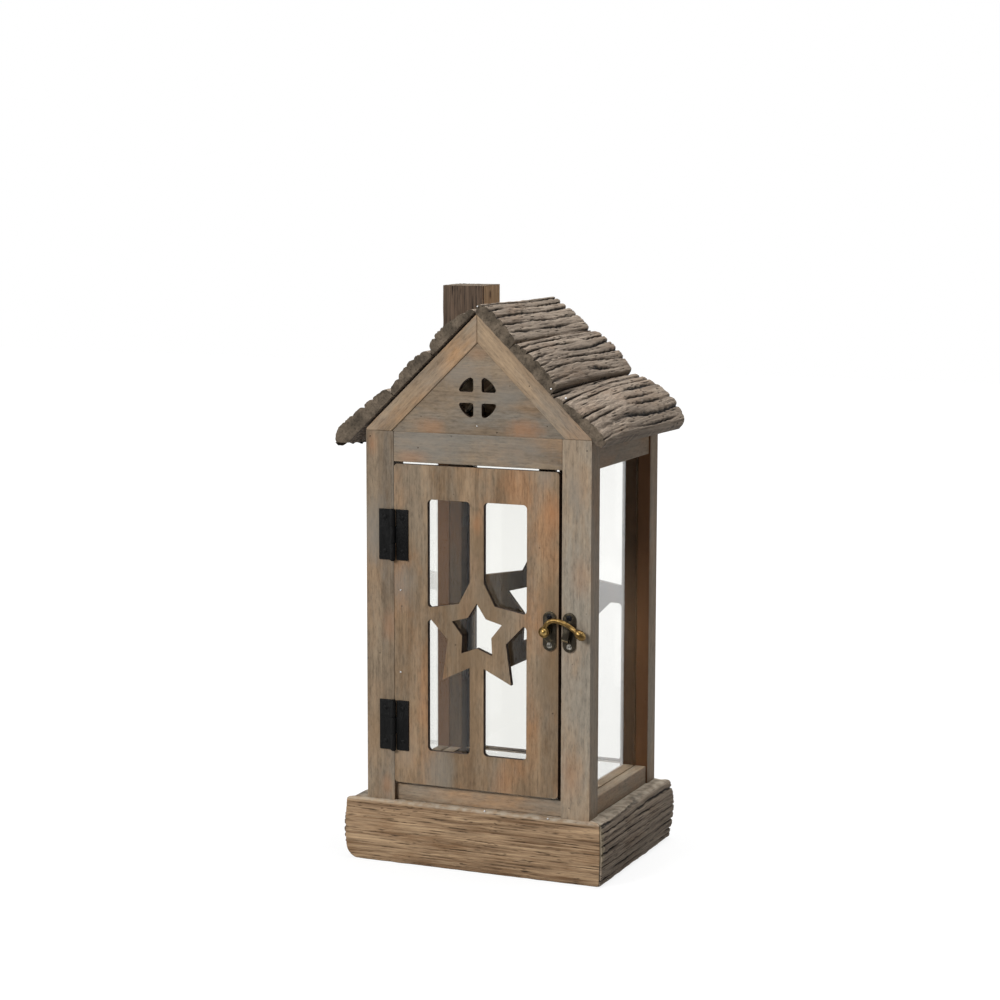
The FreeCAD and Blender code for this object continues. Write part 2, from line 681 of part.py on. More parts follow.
notch = chimney_block(size("chimney_gap"))
far_side = 3 * half_body
for side, sign in (("left", -1), ("right", 1)):
    joints = [-size(f"{side}_thick_upper"), size(f"{side}_joint_upper")]
    joints += [size(f"{side}_joint_lower"), half_body / math.cos(pitch) + size(f"{side}_eave")]
    for index, level in enumerate(("upper", "middle", "lower")):
        drop = size(f"{side}_eave_drop") if level == "lower" else None
        start = joints[index] + (size("plank_gap") if index else 0)
        slab = plank(sign, start, joints[index + 1], size(f"{side}_thick_{level}"), drop)
        if index == 0:
            half_space = Part.makeBox(far_side, 2 * far_side, far_side)
            low_corner = FreeCAD.Vector(size("ridge_gap") / 2, -far_side, apex - far_side / 2)
            if sign < 0:
                low_corner.x = -size("ridge_gap") / 2 - far_side
            half_space.translate(low_corner)
            slab = slab.common(half_space)
        if sign < 0 and level != "lower":
            slab = slab.cut(notch)
        shaped(f"roof_plank_{side}_{level}", slab)
shaped("chimney", chimney_block(0))

# ------------------------------------------------------------------ hinges
leaf_tall = size("leaf_tall")
leaf_thick = size("leaf_thick")
third = leaf_tall / 3
bore = size("pin_radius") + size("pin_clear")
joint_gap = size("knuckle_clear")


def hinge_leaf(sign, level, knuckles):
    """A leaf on the wood beside the axis, with its rolled knuckles."""
    leaf = Part.makeBox(size("leaf_wide") - leaf_start, leaf_thick, leaf_tall)
    edge_x = hinge_x + (leaf_start if sign > 0 else -size("leaf_wide"))
    leaf.translate(FreeCAD.Vector(edge_x, front - leaf_thick, level - leaf_tall / 2))
    for low, high in knuckles:
        foot = level + low
        tall = high - low
        roll = cylinder_along((hinge_x, hinge_y, foot), (0, 0, 1), size("knuckle_radius"), tall)
        tab = Part.makeBox(leaf_start + leaf_thick, leaf_thick, tall)
        tab_x = hinge_x if sign > 0 else hinge_x - leaf_start - leaf_thick
        tab.translate(FreeCAD.Vector(tab_x, hinge_y + size("knuckle_radius") - leaf_thick, foot))
        leaf = leaf.fuse([roll, tab]).removeSplitter()
    through = cylinder_along((hinge_x, hinge_y, level - leaf_tall), (0, 0, 1), bore, 2 * leaf_tall)
    leaf = leaf.cut(through)
    for way in (-1, 1):
        spot = (hinge_x + sign * leaf_middle, front - 2 * leaf_thick, level + way * size("nail_spread"))
        leaf = leaf.cut(cylinder_along(spot, (0, 1, 0), size("nail_radius"), 3 * leaf_thick))
    return leaf


ends = [(-leaf_tall / 2, -third / 2 - joint_gap / 2), (third / 2 + joint_gap / 2, leaf_tall / 2)]
centre = [(-third / 2 + joint_gap / 2, third / 2 - joint_gap / 2)]
for name, level in (("lower", hinge_levels[0]), ("upper", hinge_levels[1])):
    shaped(f"hinge_{name}_frame_leaf", hinge_leaf(-1, level, ends))
    shaped(f"hinge_{name}_door_leaf", hinge_leaf(1, level, centre))
    low_end = level - leaf_tall / 2
    head_thick = size("pin_head_thick")
    pin = cylinder_along((hinge_x, hinge_y, low_end - head_thick), (0, 0, 1), size("pin_radius"),
                         leaf_tall + 2 * head_thick)
    heads = [cylinder_along((hinge_x, hinge_y, height), (0, 0, 1), size("pin_head_radius"), head_thick)
             for height in (low_end - head_thick, low_end + leaf_tall)]
    shaped(f"hinge_{name}_pin", pin.fuse(heads).removeSplitter())


def fastener(place, surface, head_radius, head_tall, radius, length, slotted):
    """A round-headed nail or screw driven into the wood from the front."""
    head = dome((place[0], surface, place[1]), head_radius, head_tall)
    shank = cylinder_along((place[0], surface, place[1]), (0, 1, 0), radius, front - surface + length)
    body = head.fuse(shank).removeSplitter()
    if slotted:
        slot = (size("slot_long"), size("slot_wide"))
        for wide, tall in (slot, slot[::-1]):
            groove = Part.makeBox(wide, size("slot_deep"), tall)
            groove.translate(FreeCAD.Vector(place[0] - wide / 2, surface - head_tall, place[1] - tall / 2))
            body = body.cut(groove)
    return body


nail = (size("nail_head_radius"), size("nail_head_tall"), size("nail_radius"), size("nail_length"), False)
for name, sign in (("frame", -1), ("door", 1)):
    row = [fastener((hinge_x + sign * leaf_middle, level), front - leaf_thick, *nail) for level in nail_levels]
    shaped(f"hinge_nails_{name}", Part.makeCompound(row))

# ------------------------------------------------------------------ latch
plate_thick = size("latch_plate_thick")
plate_face = front - plate_thick
half_plate = size("latch_plate_wide") / 2
half_tall = size("latch_plate_tall") / 2
pivot_x = door_plate_x - size("pivot_offset")
boss_face = plate_face - size("arm_stand_off")
eye_back = boss_face - size("arm_gap")
eye_front = eye_back - size("arm_eye_thick")
arm_y = (eye_back + eye_front) / 2


def latch_plate(middle_x):
    left, right = middle_x - half_plate, middle_x + half_plate
    edge = rounded(left, latch_z - half_tall, right, latch_z + half_tall, half_plate)
    plate = board(edge, plate_face, front)
    for level in screw_levels:
        spot = (middle_x, plate_face - OVER, level)
        hole = cylinder_along(spot, (0, 1, 0), size("screw_radius"), plate_thick + 2 * OVER)
        plate = plate.cut(hole)
    return plate


boss = cylinder_along((pivot_x, boss_face, latch_z), (0, 1, 0), size("boss_radius"), front - boss_face)
rivet_hole = cylinder_along((pivot_x, boss_face - OVER, latch_z), (0, 1, 0), size("pivot_radius"),
                            front - boss_face + 2 * OVER)
shaped("latch_door_plate", latch_plate(door_plate_x).fuse(boss).cut(rivet_hole).removeSplitter())
head_back = (pivot_x, eye_front - size("arm_gap"), latch_z)
rivet = dome(head_back, size("pivot_dome_radius"), size("pivot_dome_tall"))
shank = cylinder_along(head_back, (0, 1, 0), size("pivot_radius"), front - head_back[1])
shaped("latch_rivet", rivet.fuse(shank).removeSplitter())


def walk(place, heading, radius, turn):
    """The end and the centre of a clockwise arc from place."""
    centre_x = place[0] + radius * math.cos(math.radians(heading - 90))
    centre_z = place[1] + radius * math.sin(math.radians(heading - 90))
    out = math.radians(heading - turn + 90)
    return (centre_x + radius * math.cos(out), centre_z + radius * math.sin(out)), (centre_x, centre_z)


rise_start = (pivot_x, latch_z)
heading = size("arm_start_heading")
rise_end, rise_centre = walk(rise_start, heading, size("arm_rise_radius"), size("arm_rise_turn"))
heading -= size("arm_rise_turn")
fall_end, fall_centre = walk(rise_end, heading, size("arm_fall_radius"), size("arm_fall_turn"))
heading -= size("arm_fall_turn")
tail = size("arm_tail")
tail_way = (math.cos(math.radians(heading)), math.sin(math.radians(heading)))
tail_end = (fall_end[0] + tail * tail_way[0], fall_end[1] + tail * tail_way[1])


def arm_point(place):
    return FreeCAD.Vector(place[0], arm_y, place[1])




def bar_bend(start, heading, centre, turn):
    """A round bar bent clockwise about the centre from its start."""
    way = FreeCAD.Vector(math.cos(math.radians(heading)), 0, math.sin(math.radians(heading)))
    ring = Part.Circle(arm_point(start), way, size("arm_bar_radius"))
    section = Part.Face(Part.Wire([ring.toShape()]))
    return section.revolve(arm_point(centre), FreeCAD.Vector(0, 1, 0), turn)


rise = bar_bend(rise_start, size("arm_start_heading"), rise_centre, size("arm_rise_turn"))
fall_heading = size("arm_start_heading") - size("arm_rise_turn")
fall = bar_bend(rise_end, fall_heading, fall_centre, size("arm_fall_turn"))
knob_axis = FreeCAD.Vector(tail_way[0], 0, tail_way[1])
straight = Part.makeCylinder(size("arm_bar_radius"), tail, arm_point(fall_end), knob_axis)
stretch = size("knob_long") / size("knob_round")
egg = Part.makeSphere(size("knob_round")).transformGeometry(FreeCAD.Matrix(
    stretch, 0, 0, 0, 0, 1, 0, 0, 0, 0, 1, 0, 0, 0, 0, 1))
egg.Placement = FreeCAD.Placement(arm_point(tail_end), FreeCAD.Rotation(FreeCAD.Vector(1, 0, 0), knob_axis))


def round_eye(near, radius, length):
    return cylinder_along((pivot_x, near, latch_z), (0, 1, 0), radius, length)


bar_thick = 2 * size("arm_bar_radius")
eye_radius = size("arm_eye_radius")
eye = round_eye(eye_front, eye_radius, size("arm_eye_thick"))
eye_hole = round_eye(eye_front - OVER, size("pivot_radius") + size("pivot_clear"), size("arm_eye_thick") + 2 * OVER)
over_dome = round_eye(eye_front - bar_thick, eye_radius, bar_thick)
under_boss = round_eye(eye_back, eye_radius, bar_thick)
arm = rise.fuse([fall, straight, egg])
for tool in (over_dome, under_boss):
    arm = arm.cut(tool)
shaped("latch_arm", arm.fuse(eye).cut(eye_hole).removeSplitter())

# The catch: a tongue bent out of a second plate; the arm comes down on its tip.
catch_right = catch_plate_x
under_bar = size("arm_fall_radius") - size("arm_bar_radius")
lean = math.radians(size("catch_lean"))
foot_z = latch_z - size("catch_foot")
tip_reach = catch_right + size("catch_wide") / 2 - fall_centre[0]
tip_z = fall_centre[1] + math.sqrt(under_bar ** 2 - tip_reach ** 2) - size("catch_rest_gap")
tongue_tall = (tip_z - foot_z + size("catch_wide") / 2 * math.sin(lean)) / math.cos(lean)
catch_thick = size("catch_thick")
near_y = arm_y - catch_thick / 2
inner_bend = size("catch_bend")
bend = inner_bend + catch_thick
dip = bend * (1 - math.sqrt(0.5))
inner_dip = inner_bend * (1 - math.sqrt(0.5))
side_view = [
    (plate_face + plate_thick / 2, 0), (near_y + bend, 0), (near_y, bend, near_y + dip, dip),
    (near_y, tongue_tall), (near_y + catch_thick, tongue_tall),
    (near_y + catch_thick, catch_thick + inner_bend),
    (near_y + catch_thick + inner_bend, catch_thick, near_y + catch_thick + inner_dip, catch_thick + inner_dip),
    (plate_face + plate_thick / 2, catch_thick),
]
tongue = board(side_view, -size("catch_wide") / 2, size("catch_wide") / 2)
tongue.rotate(FreeCAD.Vector(), FreeCAD.Vector(0, 0, 1), 90)
tongue.rotate(FreeCAD.Vector(), FreeCAD.Vector(0, 1, 0), size("catch_lean"))
tongue.translate(FreeCAD.Vector(catch_right - tongue_tall * math.sin(lean), 0, foot_z))
shaped("latch_catch", latch_plate(catch_plate_x).fuse(tongue).removeSplitter())

screw = (size("screw_head_radius"), size("screw_head_tall"), size("screw_radius"), size("screw_length"), True)
for name, middle_x in (("door", door_plate_x), ("catch", catch_plate_x)):
    row = [fastener((middle_x, level), plate_face, *screw) for level in screw_levels]
    shaped(f"latch_screws_{name}", Part.makeCompound(row))

# ------------------------------------------------------------------ check and write
doc.recompute()
for item in doc.Objects:
    if "Invalid" in item.State or "Error" in item.State:
        raise RuntimeError(f"{item.Label} failed: {item.State}")
os.makedirs("parts", exist_ok=True)
for piece in pieces:
    shape = piece.Shape
    if shape.isNull() or not shape.isValid() or shape.Volume <= 0:
        raise RuntimeError(f"{piece.Label} has no valid solid")
    shape.exportStep(f"parts/{piece.Label}.step")
    print(piece.Label, len(shape.Solids), round(shape.Volume, 1))
print(len(pieces), "sub-parts")
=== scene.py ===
import json
from math import atan, cos, exp, pi, radians, sin, sqrt

import bmesh
import bpy
from mathutils import Matrix, Vector, noise


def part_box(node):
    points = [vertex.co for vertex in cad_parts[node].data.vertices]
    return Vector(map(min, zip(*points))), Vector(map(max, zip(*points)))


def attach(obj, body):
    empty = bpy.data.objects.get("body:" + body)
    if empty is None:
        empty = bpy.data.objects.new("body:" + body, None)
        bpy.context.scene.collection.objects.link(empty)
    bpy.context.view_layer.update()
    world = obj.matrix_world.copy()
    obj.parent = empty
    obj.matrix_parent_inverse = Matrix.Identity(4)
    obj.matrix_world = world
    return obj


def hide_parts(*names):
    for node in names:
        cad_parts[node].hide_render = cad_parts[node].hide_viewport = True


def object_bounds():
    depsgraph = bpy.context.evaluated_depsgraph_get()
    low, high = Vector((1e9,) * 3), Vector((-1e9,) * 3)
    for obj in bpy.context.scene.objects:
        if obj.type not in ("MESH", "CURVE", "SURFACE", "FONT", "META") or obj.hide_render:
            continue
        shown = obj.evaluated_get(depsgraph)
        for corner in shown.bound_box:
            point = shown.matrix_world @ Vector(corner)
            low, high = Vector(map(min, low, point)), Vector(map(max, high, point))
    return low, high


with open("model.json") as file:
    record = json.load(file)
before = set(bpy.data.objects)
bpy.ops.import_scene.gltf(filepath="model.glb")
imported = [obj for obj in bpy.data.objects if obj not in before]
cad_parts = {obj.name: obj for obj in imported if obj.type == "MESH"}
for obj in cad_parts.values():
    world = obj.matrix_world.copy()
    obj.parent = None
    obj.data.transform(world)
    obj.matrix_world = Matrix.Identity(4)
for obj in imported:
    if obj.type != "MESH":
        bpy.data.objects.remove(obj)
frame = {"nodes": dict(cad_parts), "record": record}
cad_bounds = [list(corner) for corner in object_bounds()]

# ---------------------------------------------------------------- studio
# A pale floor under a white sky, one soft lamp from the front left and one from above.
# The camera stands where the photograph's perspective puts it, right of the door.
FLOOR_HALF = 4.0
CAMERA_PLACE = Vector((0.6931, -1.6353, 0.4963))
CAMERA_YAW = radians(-23.278)
CAMERA_DOWN = radians(7.685)
CAMERA_ROLL = 0.0021225
CAMERA_LENS = 89.99
SKY_FOR_DIFFUSE = 0.32
SKY_AT_RIGHT = 0.08
SKY_BEHIND_CAMERA = 0.05      # also of the floor there, so that the panes mirror little of either
GLOW_NEAR = 0.85              # the floor glows less near the piece, where its shadow falls
FLOOR_SEEN = 0.17
FLOOR_LIT = 0.42


def put(tree, kind, inputs=None, **settings):
    """Adds a node; an input is a value or another node's socket."""
    new = tree.nodes.new(kind)
    for name, value in settings.items():
        setattr(new, name, value)
    for key, value in (inputs or {}).items():
        if isinstance(value, bpy.types.NodeSocket):
            tree.links.new(value, new.inputs[key])
        else:
            new.inputs[key].default_value = value
    return new


def maths(tree, operation, *values):
    return put(tree, "ShaderNodeMath", dict(enumerate(values)), operation=operation).outputs[0]


def vector_maths(tree, operation, *values):
    return put(tree, "ShaderNodeVectorMath", dict(enumerate(values)), operation=operation).outputs


def spread(tree, value, low, high, new_low=0.0, new_high=1.0):
    """Maps one range of a value onto another, held at both ends."""
    return put(tree, "ShaderNodeMapRange", {0: value, 1: low, 2: high, 3: new_low, 4: new_high}).outputs[0]


def object_spot(tree):
    return put(tree, "ShaderNodeTexCoord").outputs["Object"]


def axes_of(tree, vector):
    return put(tree, "ShaderNodeSeparateXYZ", {0: vector}).outputs


def blank_material(name):
    material = bpy.data.materials.new(name)
    material.use_nodes = True
    material.node_tree.nodes.clear()
    return material, material.node_tree


def show(tree, shader):
    put(tree, "ShaderNodeOutputMaterial", {"Surface": shader})


def linked(name, mesh):
    piece = bpy.data.objects.new(name, mesh)
    bpy.context.collection.objects.link(piece)
    return piece


floor_mesh = bpy.data.meshes.new("studio_floor")
floor_corners = [(-FLOOR_HALF, -FLOOR_HALF, 0), (FLOOR_HALF, -FLOOR_HALF, 0),
                 (FLOOR_HALF, FLOOR_HALF, 0), (-FLOOR_HALF, FLOOR_HALF, 0)]
floor_mesh.from_pydata(floor_corners, [], [(0, 1, 2, 3)])
studio_floor = linked("studio_floor", floor_mesh)
floor_paint, tree = blank_material("floor_paint")
path = put(tree, "ShaderNodeLightPath").outputs
seen = maths(tree, "MAXIMUM", path["Is Camera Ray"], path["Is Transmission Ray"])
spot = object_spot(tree)
behind = spread(tree, axes_of(tree, spot)["Y"], -0.9, 0.0, SKY_BEHIND_CAMERA, 1.0)
seen = maths(tree, "MAXIMUM", seen, maths(tree, "MULTIPLY", path["Is Glossy Ray"], behind))
away = vector_maths(tree, "LENGTH", spot)["Value"]
level = spread(tree, away, 0.35, 1.3, GLOW_NEAR, 1.0)
glow = put(tree, "ShaderNodeEmission", {1: maths(tree, "MULTIPLY", seen, level)})
lit = maths(tree, "MULTIPLY", path["Is Diffuse Ray"], FLOOR_LIT)
grey = maths(tree, "MULTIPLY_ADD", seen, FLOOR_SEEN, lit)
paint = put(tree, "ShaderNodeBsdfDiffuse", {0: grey})
show(tree, put(tree, "ShaderNodeAddShader", {0: glow.outputs[0], 1: paint.outputs[0]}).outputs[0])
floor_mesh.materials.append(floor_paint)

world = bpy.data.worlds.new("white_studio")
bpy.context.scene.world = world
world.use_nodes = True
tree = world.node_tree
tree.nodes.clear()
path = put(tree, "ShaderNodeLightPath").outputs
facing = axes_of(tree, object_spot(tree))
mirrored = spread(tree, facing["Y"], -0.75, -0.1, SKY_BEHIND_CAMERA, 1.0)
soft = spread(tree, facing["X"], -0.6, 0.6, SKY_FOR_DIFFUSE, SKY_AT_RIGHT)
seen = maths(tree, "MAXIMUM", path["Is Camera Ray"], path["Is Transmission Ray"])
seen = maths(tree, "MAXIMUM", seen, maths(tree, "MULTIPLY", path["Is Glossy Ray"], mirrored))
strength = maths(tree, "MAXIMUM", seen, maths(tree, "MULTIPLY", path["Is Diffuse Ray"], soft))
sky = put(tree, "ShaderNodeBackground", {0: (1, 1, 1, 1), 1: strength})
put(tree, "ShaderNodeOutputWorld", {0: sky.outputs[0]})


def soft_lamp(name, place, aim, size, power):
    lamp = bpy.data.lights.new(name, "AREA")
    lamp.shape = "DISK"
    lamp.size = size
    lamp.energy = power
    holder = linked(name, lamp)
    holder.location = place
    holder.rotation_euler = (Vector(aim) - Vector(place)).to_track_quat("-Z", "Y").to_euler()
    return holder


soft_lamp("front_left_lamp", (-1.0, -2.1, 1.5), (0, 0, 0.2), 1.1, 52)
soft_lamp("top_lamp", (0.22, 0.2, 2.1), (0, 0, 0.25), 1.2, 38)

camera = bpy.data.cameras.new("camera")
camera.lens = CAMERA_LENS
camera.sensor_width = 36
camera_holder = linked("camera", camera)
ahead = Vector((sin(CAMERA_YAW) * cos(CAMERA_DOWN), cos(CAMERA_YAW) * cos(CAMERA_DOWN), -sin(CAMERA_DOWN)))
level_right = Vector((cos(CAMERA_YAW), -sin(CAMERA_YAW), 0))
level_up = level_right.cross(ahead)
right = cos(CAMERA_ROLL) * level_right + sin(CAMERA_ROLL) * level_up
up = cos(CAMERA_ROLL) * level_up - sin(CAMERA_ROLL) * level_right
turned = Matrix((right, up, -ahead)).transposed().to_4x4()
camera_holder.matrix_world = Matrix.Translation(CAMERA_PLACE) @ turned
bpy.context.scene.camera = camera_holder
bpy.context.scene.view_settings.view_transform = "Standard"

# ---------------------------------------------------------------- foot boards
# Four offcuts of a weathered log, mitred at the corners. The side and back boards keep the
# furrowed outside of the log; the front one is rough sawn and shows its pale brown grain.
FOOT_THICK = 0.024
FOOT_TALL = 0.045
FOOT_INNER_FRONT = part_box("base_front_board")[1][1]
FOOT_INNER_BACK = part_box("base_back_board")[0][1]
FOOT_INNER_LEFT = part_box("base_left_board")[1][0]
FOOT_INNER_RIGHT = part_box("base_right_board")[0][0]
FOOT_FRONT = FOOT_INNER_FRONT - FOOT_THICK
FOOT_BACK = FOOT_INNER_BACK + FOOT_THICK
FOOT_LEFT = FOOT_INNER_LEFT - FOOT_THICK
FOOT_RIGHT = FOOT_INNER_RIGHT + FOOT_THICK
record = frame["record"]
body_of = {node: body for body, nodes in record["behaviour"]["bodies"].items() for node in nodes}


def colour(red, green, blue):
    """A colour in 0 to 255 steps of a screen, as linear light."""
    return tuple(((level / 255 + 0.055) / 1.055) ** 2.4 for level in (red, green, blue)) + (1.0,)


def ramp(tree, factor, *stops):
    new = put(tree, "ShaderNodeValToRGB", {0: factor})
    elements = new.color_ramp.elements
    while len(elements) < len(stops):
        elements.new(1.0)
    for element, (place, shade) in zip(elements, stops):
        element.position = place
        element.color = shade if isinstance(shade, tuple) else (shade, shade, shade, 1)
    return new.outputs[0]


def mix(tree, factor, first, second, blend="MIX"):
    inputs = {0: factor, 6: first, 7: second}
    return put(tree, "ShaderNodeMix", inputs, data_type="RGBA", blend_type=blend).outputs[2]


def grain_noise(tree, vector, stretch, scale, detail=4.0, rough=0.55, twist=0.0):
    """Noise whose spots are drawn out along Z, the way of the grain."""
    if stretch:
        vector = put(tree, "ShaderNodeMapping", {"Vector": vector, "Scale": (1, 1, stretch)}).outputs[0]
    inputs = {"Vector": vector, "Scale": scale, "Detail": detail, "Roughness": rough, "Distortion": twist}
    return put(tree, "ShaderNodeTexNoise", inputs).outputs[0]


def speckle(tree, vector, scale, detail=2.0, rough=0.5):
    """Noise with round spots."""
    return grain_noise(tree, vector, None, scale, detail, rough)


def new_group(name, inputs, outputs):
    tree = bpy.data.node_groups.new(name, "ShaderNodeTree")
    for socket, kind in inputs:
        tree.interface.new_socket(socket, in_out="INPUT", socket_type=kind)
    for socket, kind in outputs:
        tree.interface.new_socket(socket, in_out="OUTPUT", socket_type=kind)
    return tree, tree.nodes.new("NodeGroupInput").outputs, tree.nodes.new("NodeGroupOutput").inputs


VECTOR, FLOAT, COLOUR = "NodeSocketVector", "NodeSocketFloat", "NodeSocketColor"
SURFACE = [("Color", COLOUR), ("Roughness", FLOAT), ("Height", FLOAT)]

# Weathered wood: grey backs, brown middles, nearly black cracks, along any grain; the cracks' dark is dark
# wood and painted shade.
weathered, given, result = new_group("weathered", [
    ("Vector", VECTOR), ("Furrow", FLOAT), ("Back", COLOUR), ("Middle", COLOUR), ("CrackAndShade", COLOUR),
    ("Stain", COLOUR), ("Stained", FLOAT), ("Cracked", FLOAT)], SURFACE)
fibres = grain_noise(weathered, given["Vector"], 0.022, 1500, 6.0, 0.7, 0.2)
strands = grain_noise(weathered, given["Vector"], 0.035, 420, 5.0, 0.65, 0.5)
blotches = grain_noise(weathered, given["Vector"], 0.35, 55, 6.0, 0.65)
body = mix(weathered, ramp(weathered, strands, (0.36, 0.0), (0.66, 1.0)), given["Middle"], given["Back"])
stained = ramp(weathered, blotches, (0.5, 0.0), (0.68, 1.0))
stain_mask = maths(weathered, "MULTIPLY", stained, given["Stained"])
body = mix(weathered, stain_mask, body, given["Stain"])
light = ramp(weathered, fibres, (0.3, 0.55), (0.5, 1.0), (0.7, 1.35))
body = mix(weathered, 1.0, body, light, "MULTIPLY")
depth = maths(weathered, "MULTIPLY", given["Furrow"], given["Cracked"])
depth = maths(weathered, "ADD", depth, maths(weathered, "MULTIPLY_ADD", fibres, 0.5, -0.25))
# Painted shade: the crack colour grows with the furrow's depth, over the cracks' own dark wood.
crack_and_shade_mask = ramp(weathered, depth, (0.22, 0.0), (0.42, 0.5), (0.75, 1.0))
weathered.links.new(mix(weathered, crack_and_shade_mask, body, given["CrackAndShade"]), result["Color"])
weathered.links.new(maths(weathered, "MULTIPLY_ADD", fibres, 0.25, 0.68), result["Roughness"])
weathered.links.new(maths(weathered, "MULTIPLY_ADD", strands, 0.7, fibres), result["Height"])


WOOD_GLOSS = 0.3


def finish_surface(tree, group, relief, base=None):
    """Feeds a group's colour, roughness and height into one glossy shader."""
    bump = put(tree, "ShaderNodeBump", {"Height": group.outputs["Height"], "Distance": relief})
    shader = put(tree, "ShaderNodeBsdfPrincipled", {
        "Base Color": base or group.outputs["Color"], "Roughness": group.outputs["Roughness"],
        "Normal": bump.outputs[0], "Specular IOR Level": WOOD_GLOSS})
    show(tree, shader.outputs[0])


def along_grain(tree, turn, shift=(0, 0, 0)):
    spot = object_spot(tree)
    return put(tree, "ShaderNodeMapping", {"Vector": spot, "Rotation": turn, "Location": shift}).outputs[0]


GRAIN_UP = (0, 0, 0)
GRAIN_ACROSS = (0, -pi / 2, 0)
GRAIN_BACK = (pi / 2, 0, 0)


def weathered_wood(name, turn, tones, stained, cracked, relief, shift=(0, 0, 0), extra=None):
    material, tree = blank_material(name)
    # The third tone is the cracks' colour: dark wood together with painted shade.
    back, middle, crack, stain = (colour(*tone) for tone in tones)
    furrow = put(tree, "ShaderNodeAttribute", attribute_name="furrow").outputs["Fac"]
    group = put(tree, "ShaderNodeGroup", node_tree=weathered)
    spot = along_grain(tree, turn, shift)
    tree.links.new(spot, group.inputs["Vector"])
    tree.links.new(furrow, group.inputs["Furrow"])
    for socket, value in (("Back", back), ("Middle", middle), ("CrackAndShade", crack), ("Stain", stain),
                          ("Stained", stained), ("Cracked", cracked)):
        group.inputs[socket].default_value = value
    base = extra(tree, group.outputs["Color"]) if extra else None
    finish_surface(tree, group, relief, base)
    return material


def skinned(name, points, faces, furrows, smooth=50):
    """A closed skin inside the frame's box; furrows says how deep in a crack each point lies."""
    low, high = cad_bounds
    held = [[min(max(value, least), most) for value, least, most in zip(point, low, high)]
            for point in points]
    mesh = bpy.data.meshes.new(name)
    mesh.from_pydata(held, [], faces)
    form = bmesh.new()
    form.from_mesh(mesh)
    bmesh.ops.recalc_face_normals(form, faces=form.faces)
    form.to_mesh(mesh)
    form.free()
    mesh.shade_smooth()
    mesh.set_sharp_from_angle(angle=radians(smooth))
    mesh.attributes.new("furrow", "FLOAT", "POINT").data.foreach_set("value", furrows)
    return linked(name, mesh)


def crack_depth(across, along, seed, spacing, run):
    """0 on the back of a ridge, 1 at the bottom of a long crack between two ridges."""
    uneven = 0.5 * noise.noise(Vector((across / (2.2 * spacing), seed, 0.0)))
    wander = 0.5 * noise.noise(Vector((along / run, across / (3 * spacing), seed + 1)))
    wiggle = 0.13 * noise.noise(Vector((along / 0.006, across / 0.006, seed + 2)))
    place = across / spacing + uneven + wander + wiggle
    nearest = round(place)
    away = min(1.0, abs(place - nearest) * 2)
    opening = 0.62 + 1.4 * noise.noise(Vector((nearest * 7.3, along / (0.5 * run), seed + 3)))
    rounded = 1 - sqrt(1 - (1 - away) ** 2)
    return min(1.0, max(0.12, opening)) * (0.5 * rounded + 0.5 * exp(-(away / 0.22) ** 2))


def roughness(across, along, seed, spacing, run):
    return noise.noise(Vector((across / spacing, along / run, seed)))


def rounding(distance, radius):
    """How far a rounded edge falls back at a distance in from it."""
    if distance >= radius:
        return 0.0
    return radius - sqrt(radius ** 2 - (radius - distance) ** 2)


END_LAYERS = 6


def slab(name, stations, rows, across, skin, under, reach, place, bark):
    """A board with a worked outer skin, swept along its grain, with rough sawn ends.

    across(t) gives the skin's two edges, skin(w, t) and under(a, t) the heights of its skin
    and back, reach(a, b) the two ends along the grain, place(a, b, along) the point.
    """
    points, furrows, faces, number = [], [], [], {}
    for station in range(stations + 1):
        t = station / stations
        first, last = across(t)
        for row in range(rows + 1):
            w = row / rows
            a = first + (last - first) * w
            b = skin(w, t)
            start, end = reach(a, b)
            along = start + (end - start) * t
            deep = crack_depth(a, along, bark["seed"], bark["spacing"], bark["run"])
            dash = crack_depth(a, along, bark["seed"] + 20, bark["spacing"] * 0.34, bark["run"] * 0.3) ** 1.6
            wave = roughness(a, along, bark["seed"] + 40, 0.03, 0.06)
            grit = roughness(a, along, bark["seed"] + 60, 0.0011, 0.009)
            low = bark["depth"] * (deep + 0.3 * dash) - bark["wave"] * wave - bark["grit"] * grit
            edge = min(abs(a - first), abs(last - a))
            worn_edge = 1 + 0.5 * roughness(edge, along, bark["seed"] + 80, 1.0, 0.009)
            low += rounding(edge, bark["edge"]) * worn_edge
            floor_a = max(first, 0.0) + (last - max(first, 0.0)) * w
            floor_b = under(floor_a, t)
            for layer in range(END_LAYERS + 1):
                inside = 0 < layer < END_LAYERS and 0 < row < rows
                if inside and station not in (0, stations):
                    continue
                share = layer / END_LAYERS
                at_a = a + (floor_a - a) * share
                at_b = b - low + (floor_b - b + low) * share
                start, end = reach(at_a, at_b)
                number[station, layer, row] = len(points)
                points.append(place(at_a, at_b, start + (end - start) * t))
                inner = 0.3 + 0.3 * roughness(w, t, bark["seed"], 0.02, 0.02)
                furrows.append(max(deep, 0.8 * dash) if layer == 0 else inner)
    for station in range(stations):
        for row in range(rows):
            for layer in (0, END_LAYERS):
                faces.append(((station, layer, row), (station, layer, row + 1),
                              (station + 1, layer, row + 1), (station + 1, layer, row)))
        for layer in range(END_LAYERS):
            for row in (0, rows):
                faces.append(((station, layer, row), (station, layer + 1, row),
                              (station + 1, layer + 1, row), (station + 1, layer, row)))
    for station in (0, stations):
        for row in range(rows):
            for layer in range(END_LAYERS):
                faces.append(((station, layer, row), (station, layer, row + 1),
                              (station, layer + 1, row + 1), (station, layer + 1, row)))
    board = skinned(name, points, [[number[key] for key in face] for face in faces], furrows)
    for face in board.data.polygons[-2 * rows * END_LAYERS:]:
        face.material_index = 1
    return board


def dress(piece, node, *finishes):
    """Puts a piece in a node's place, on its body and with its finishes."""
    for finish in finishes:
        piece.data.materials.append(finish)
    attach(piece, body_of[node])
    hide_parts(node)


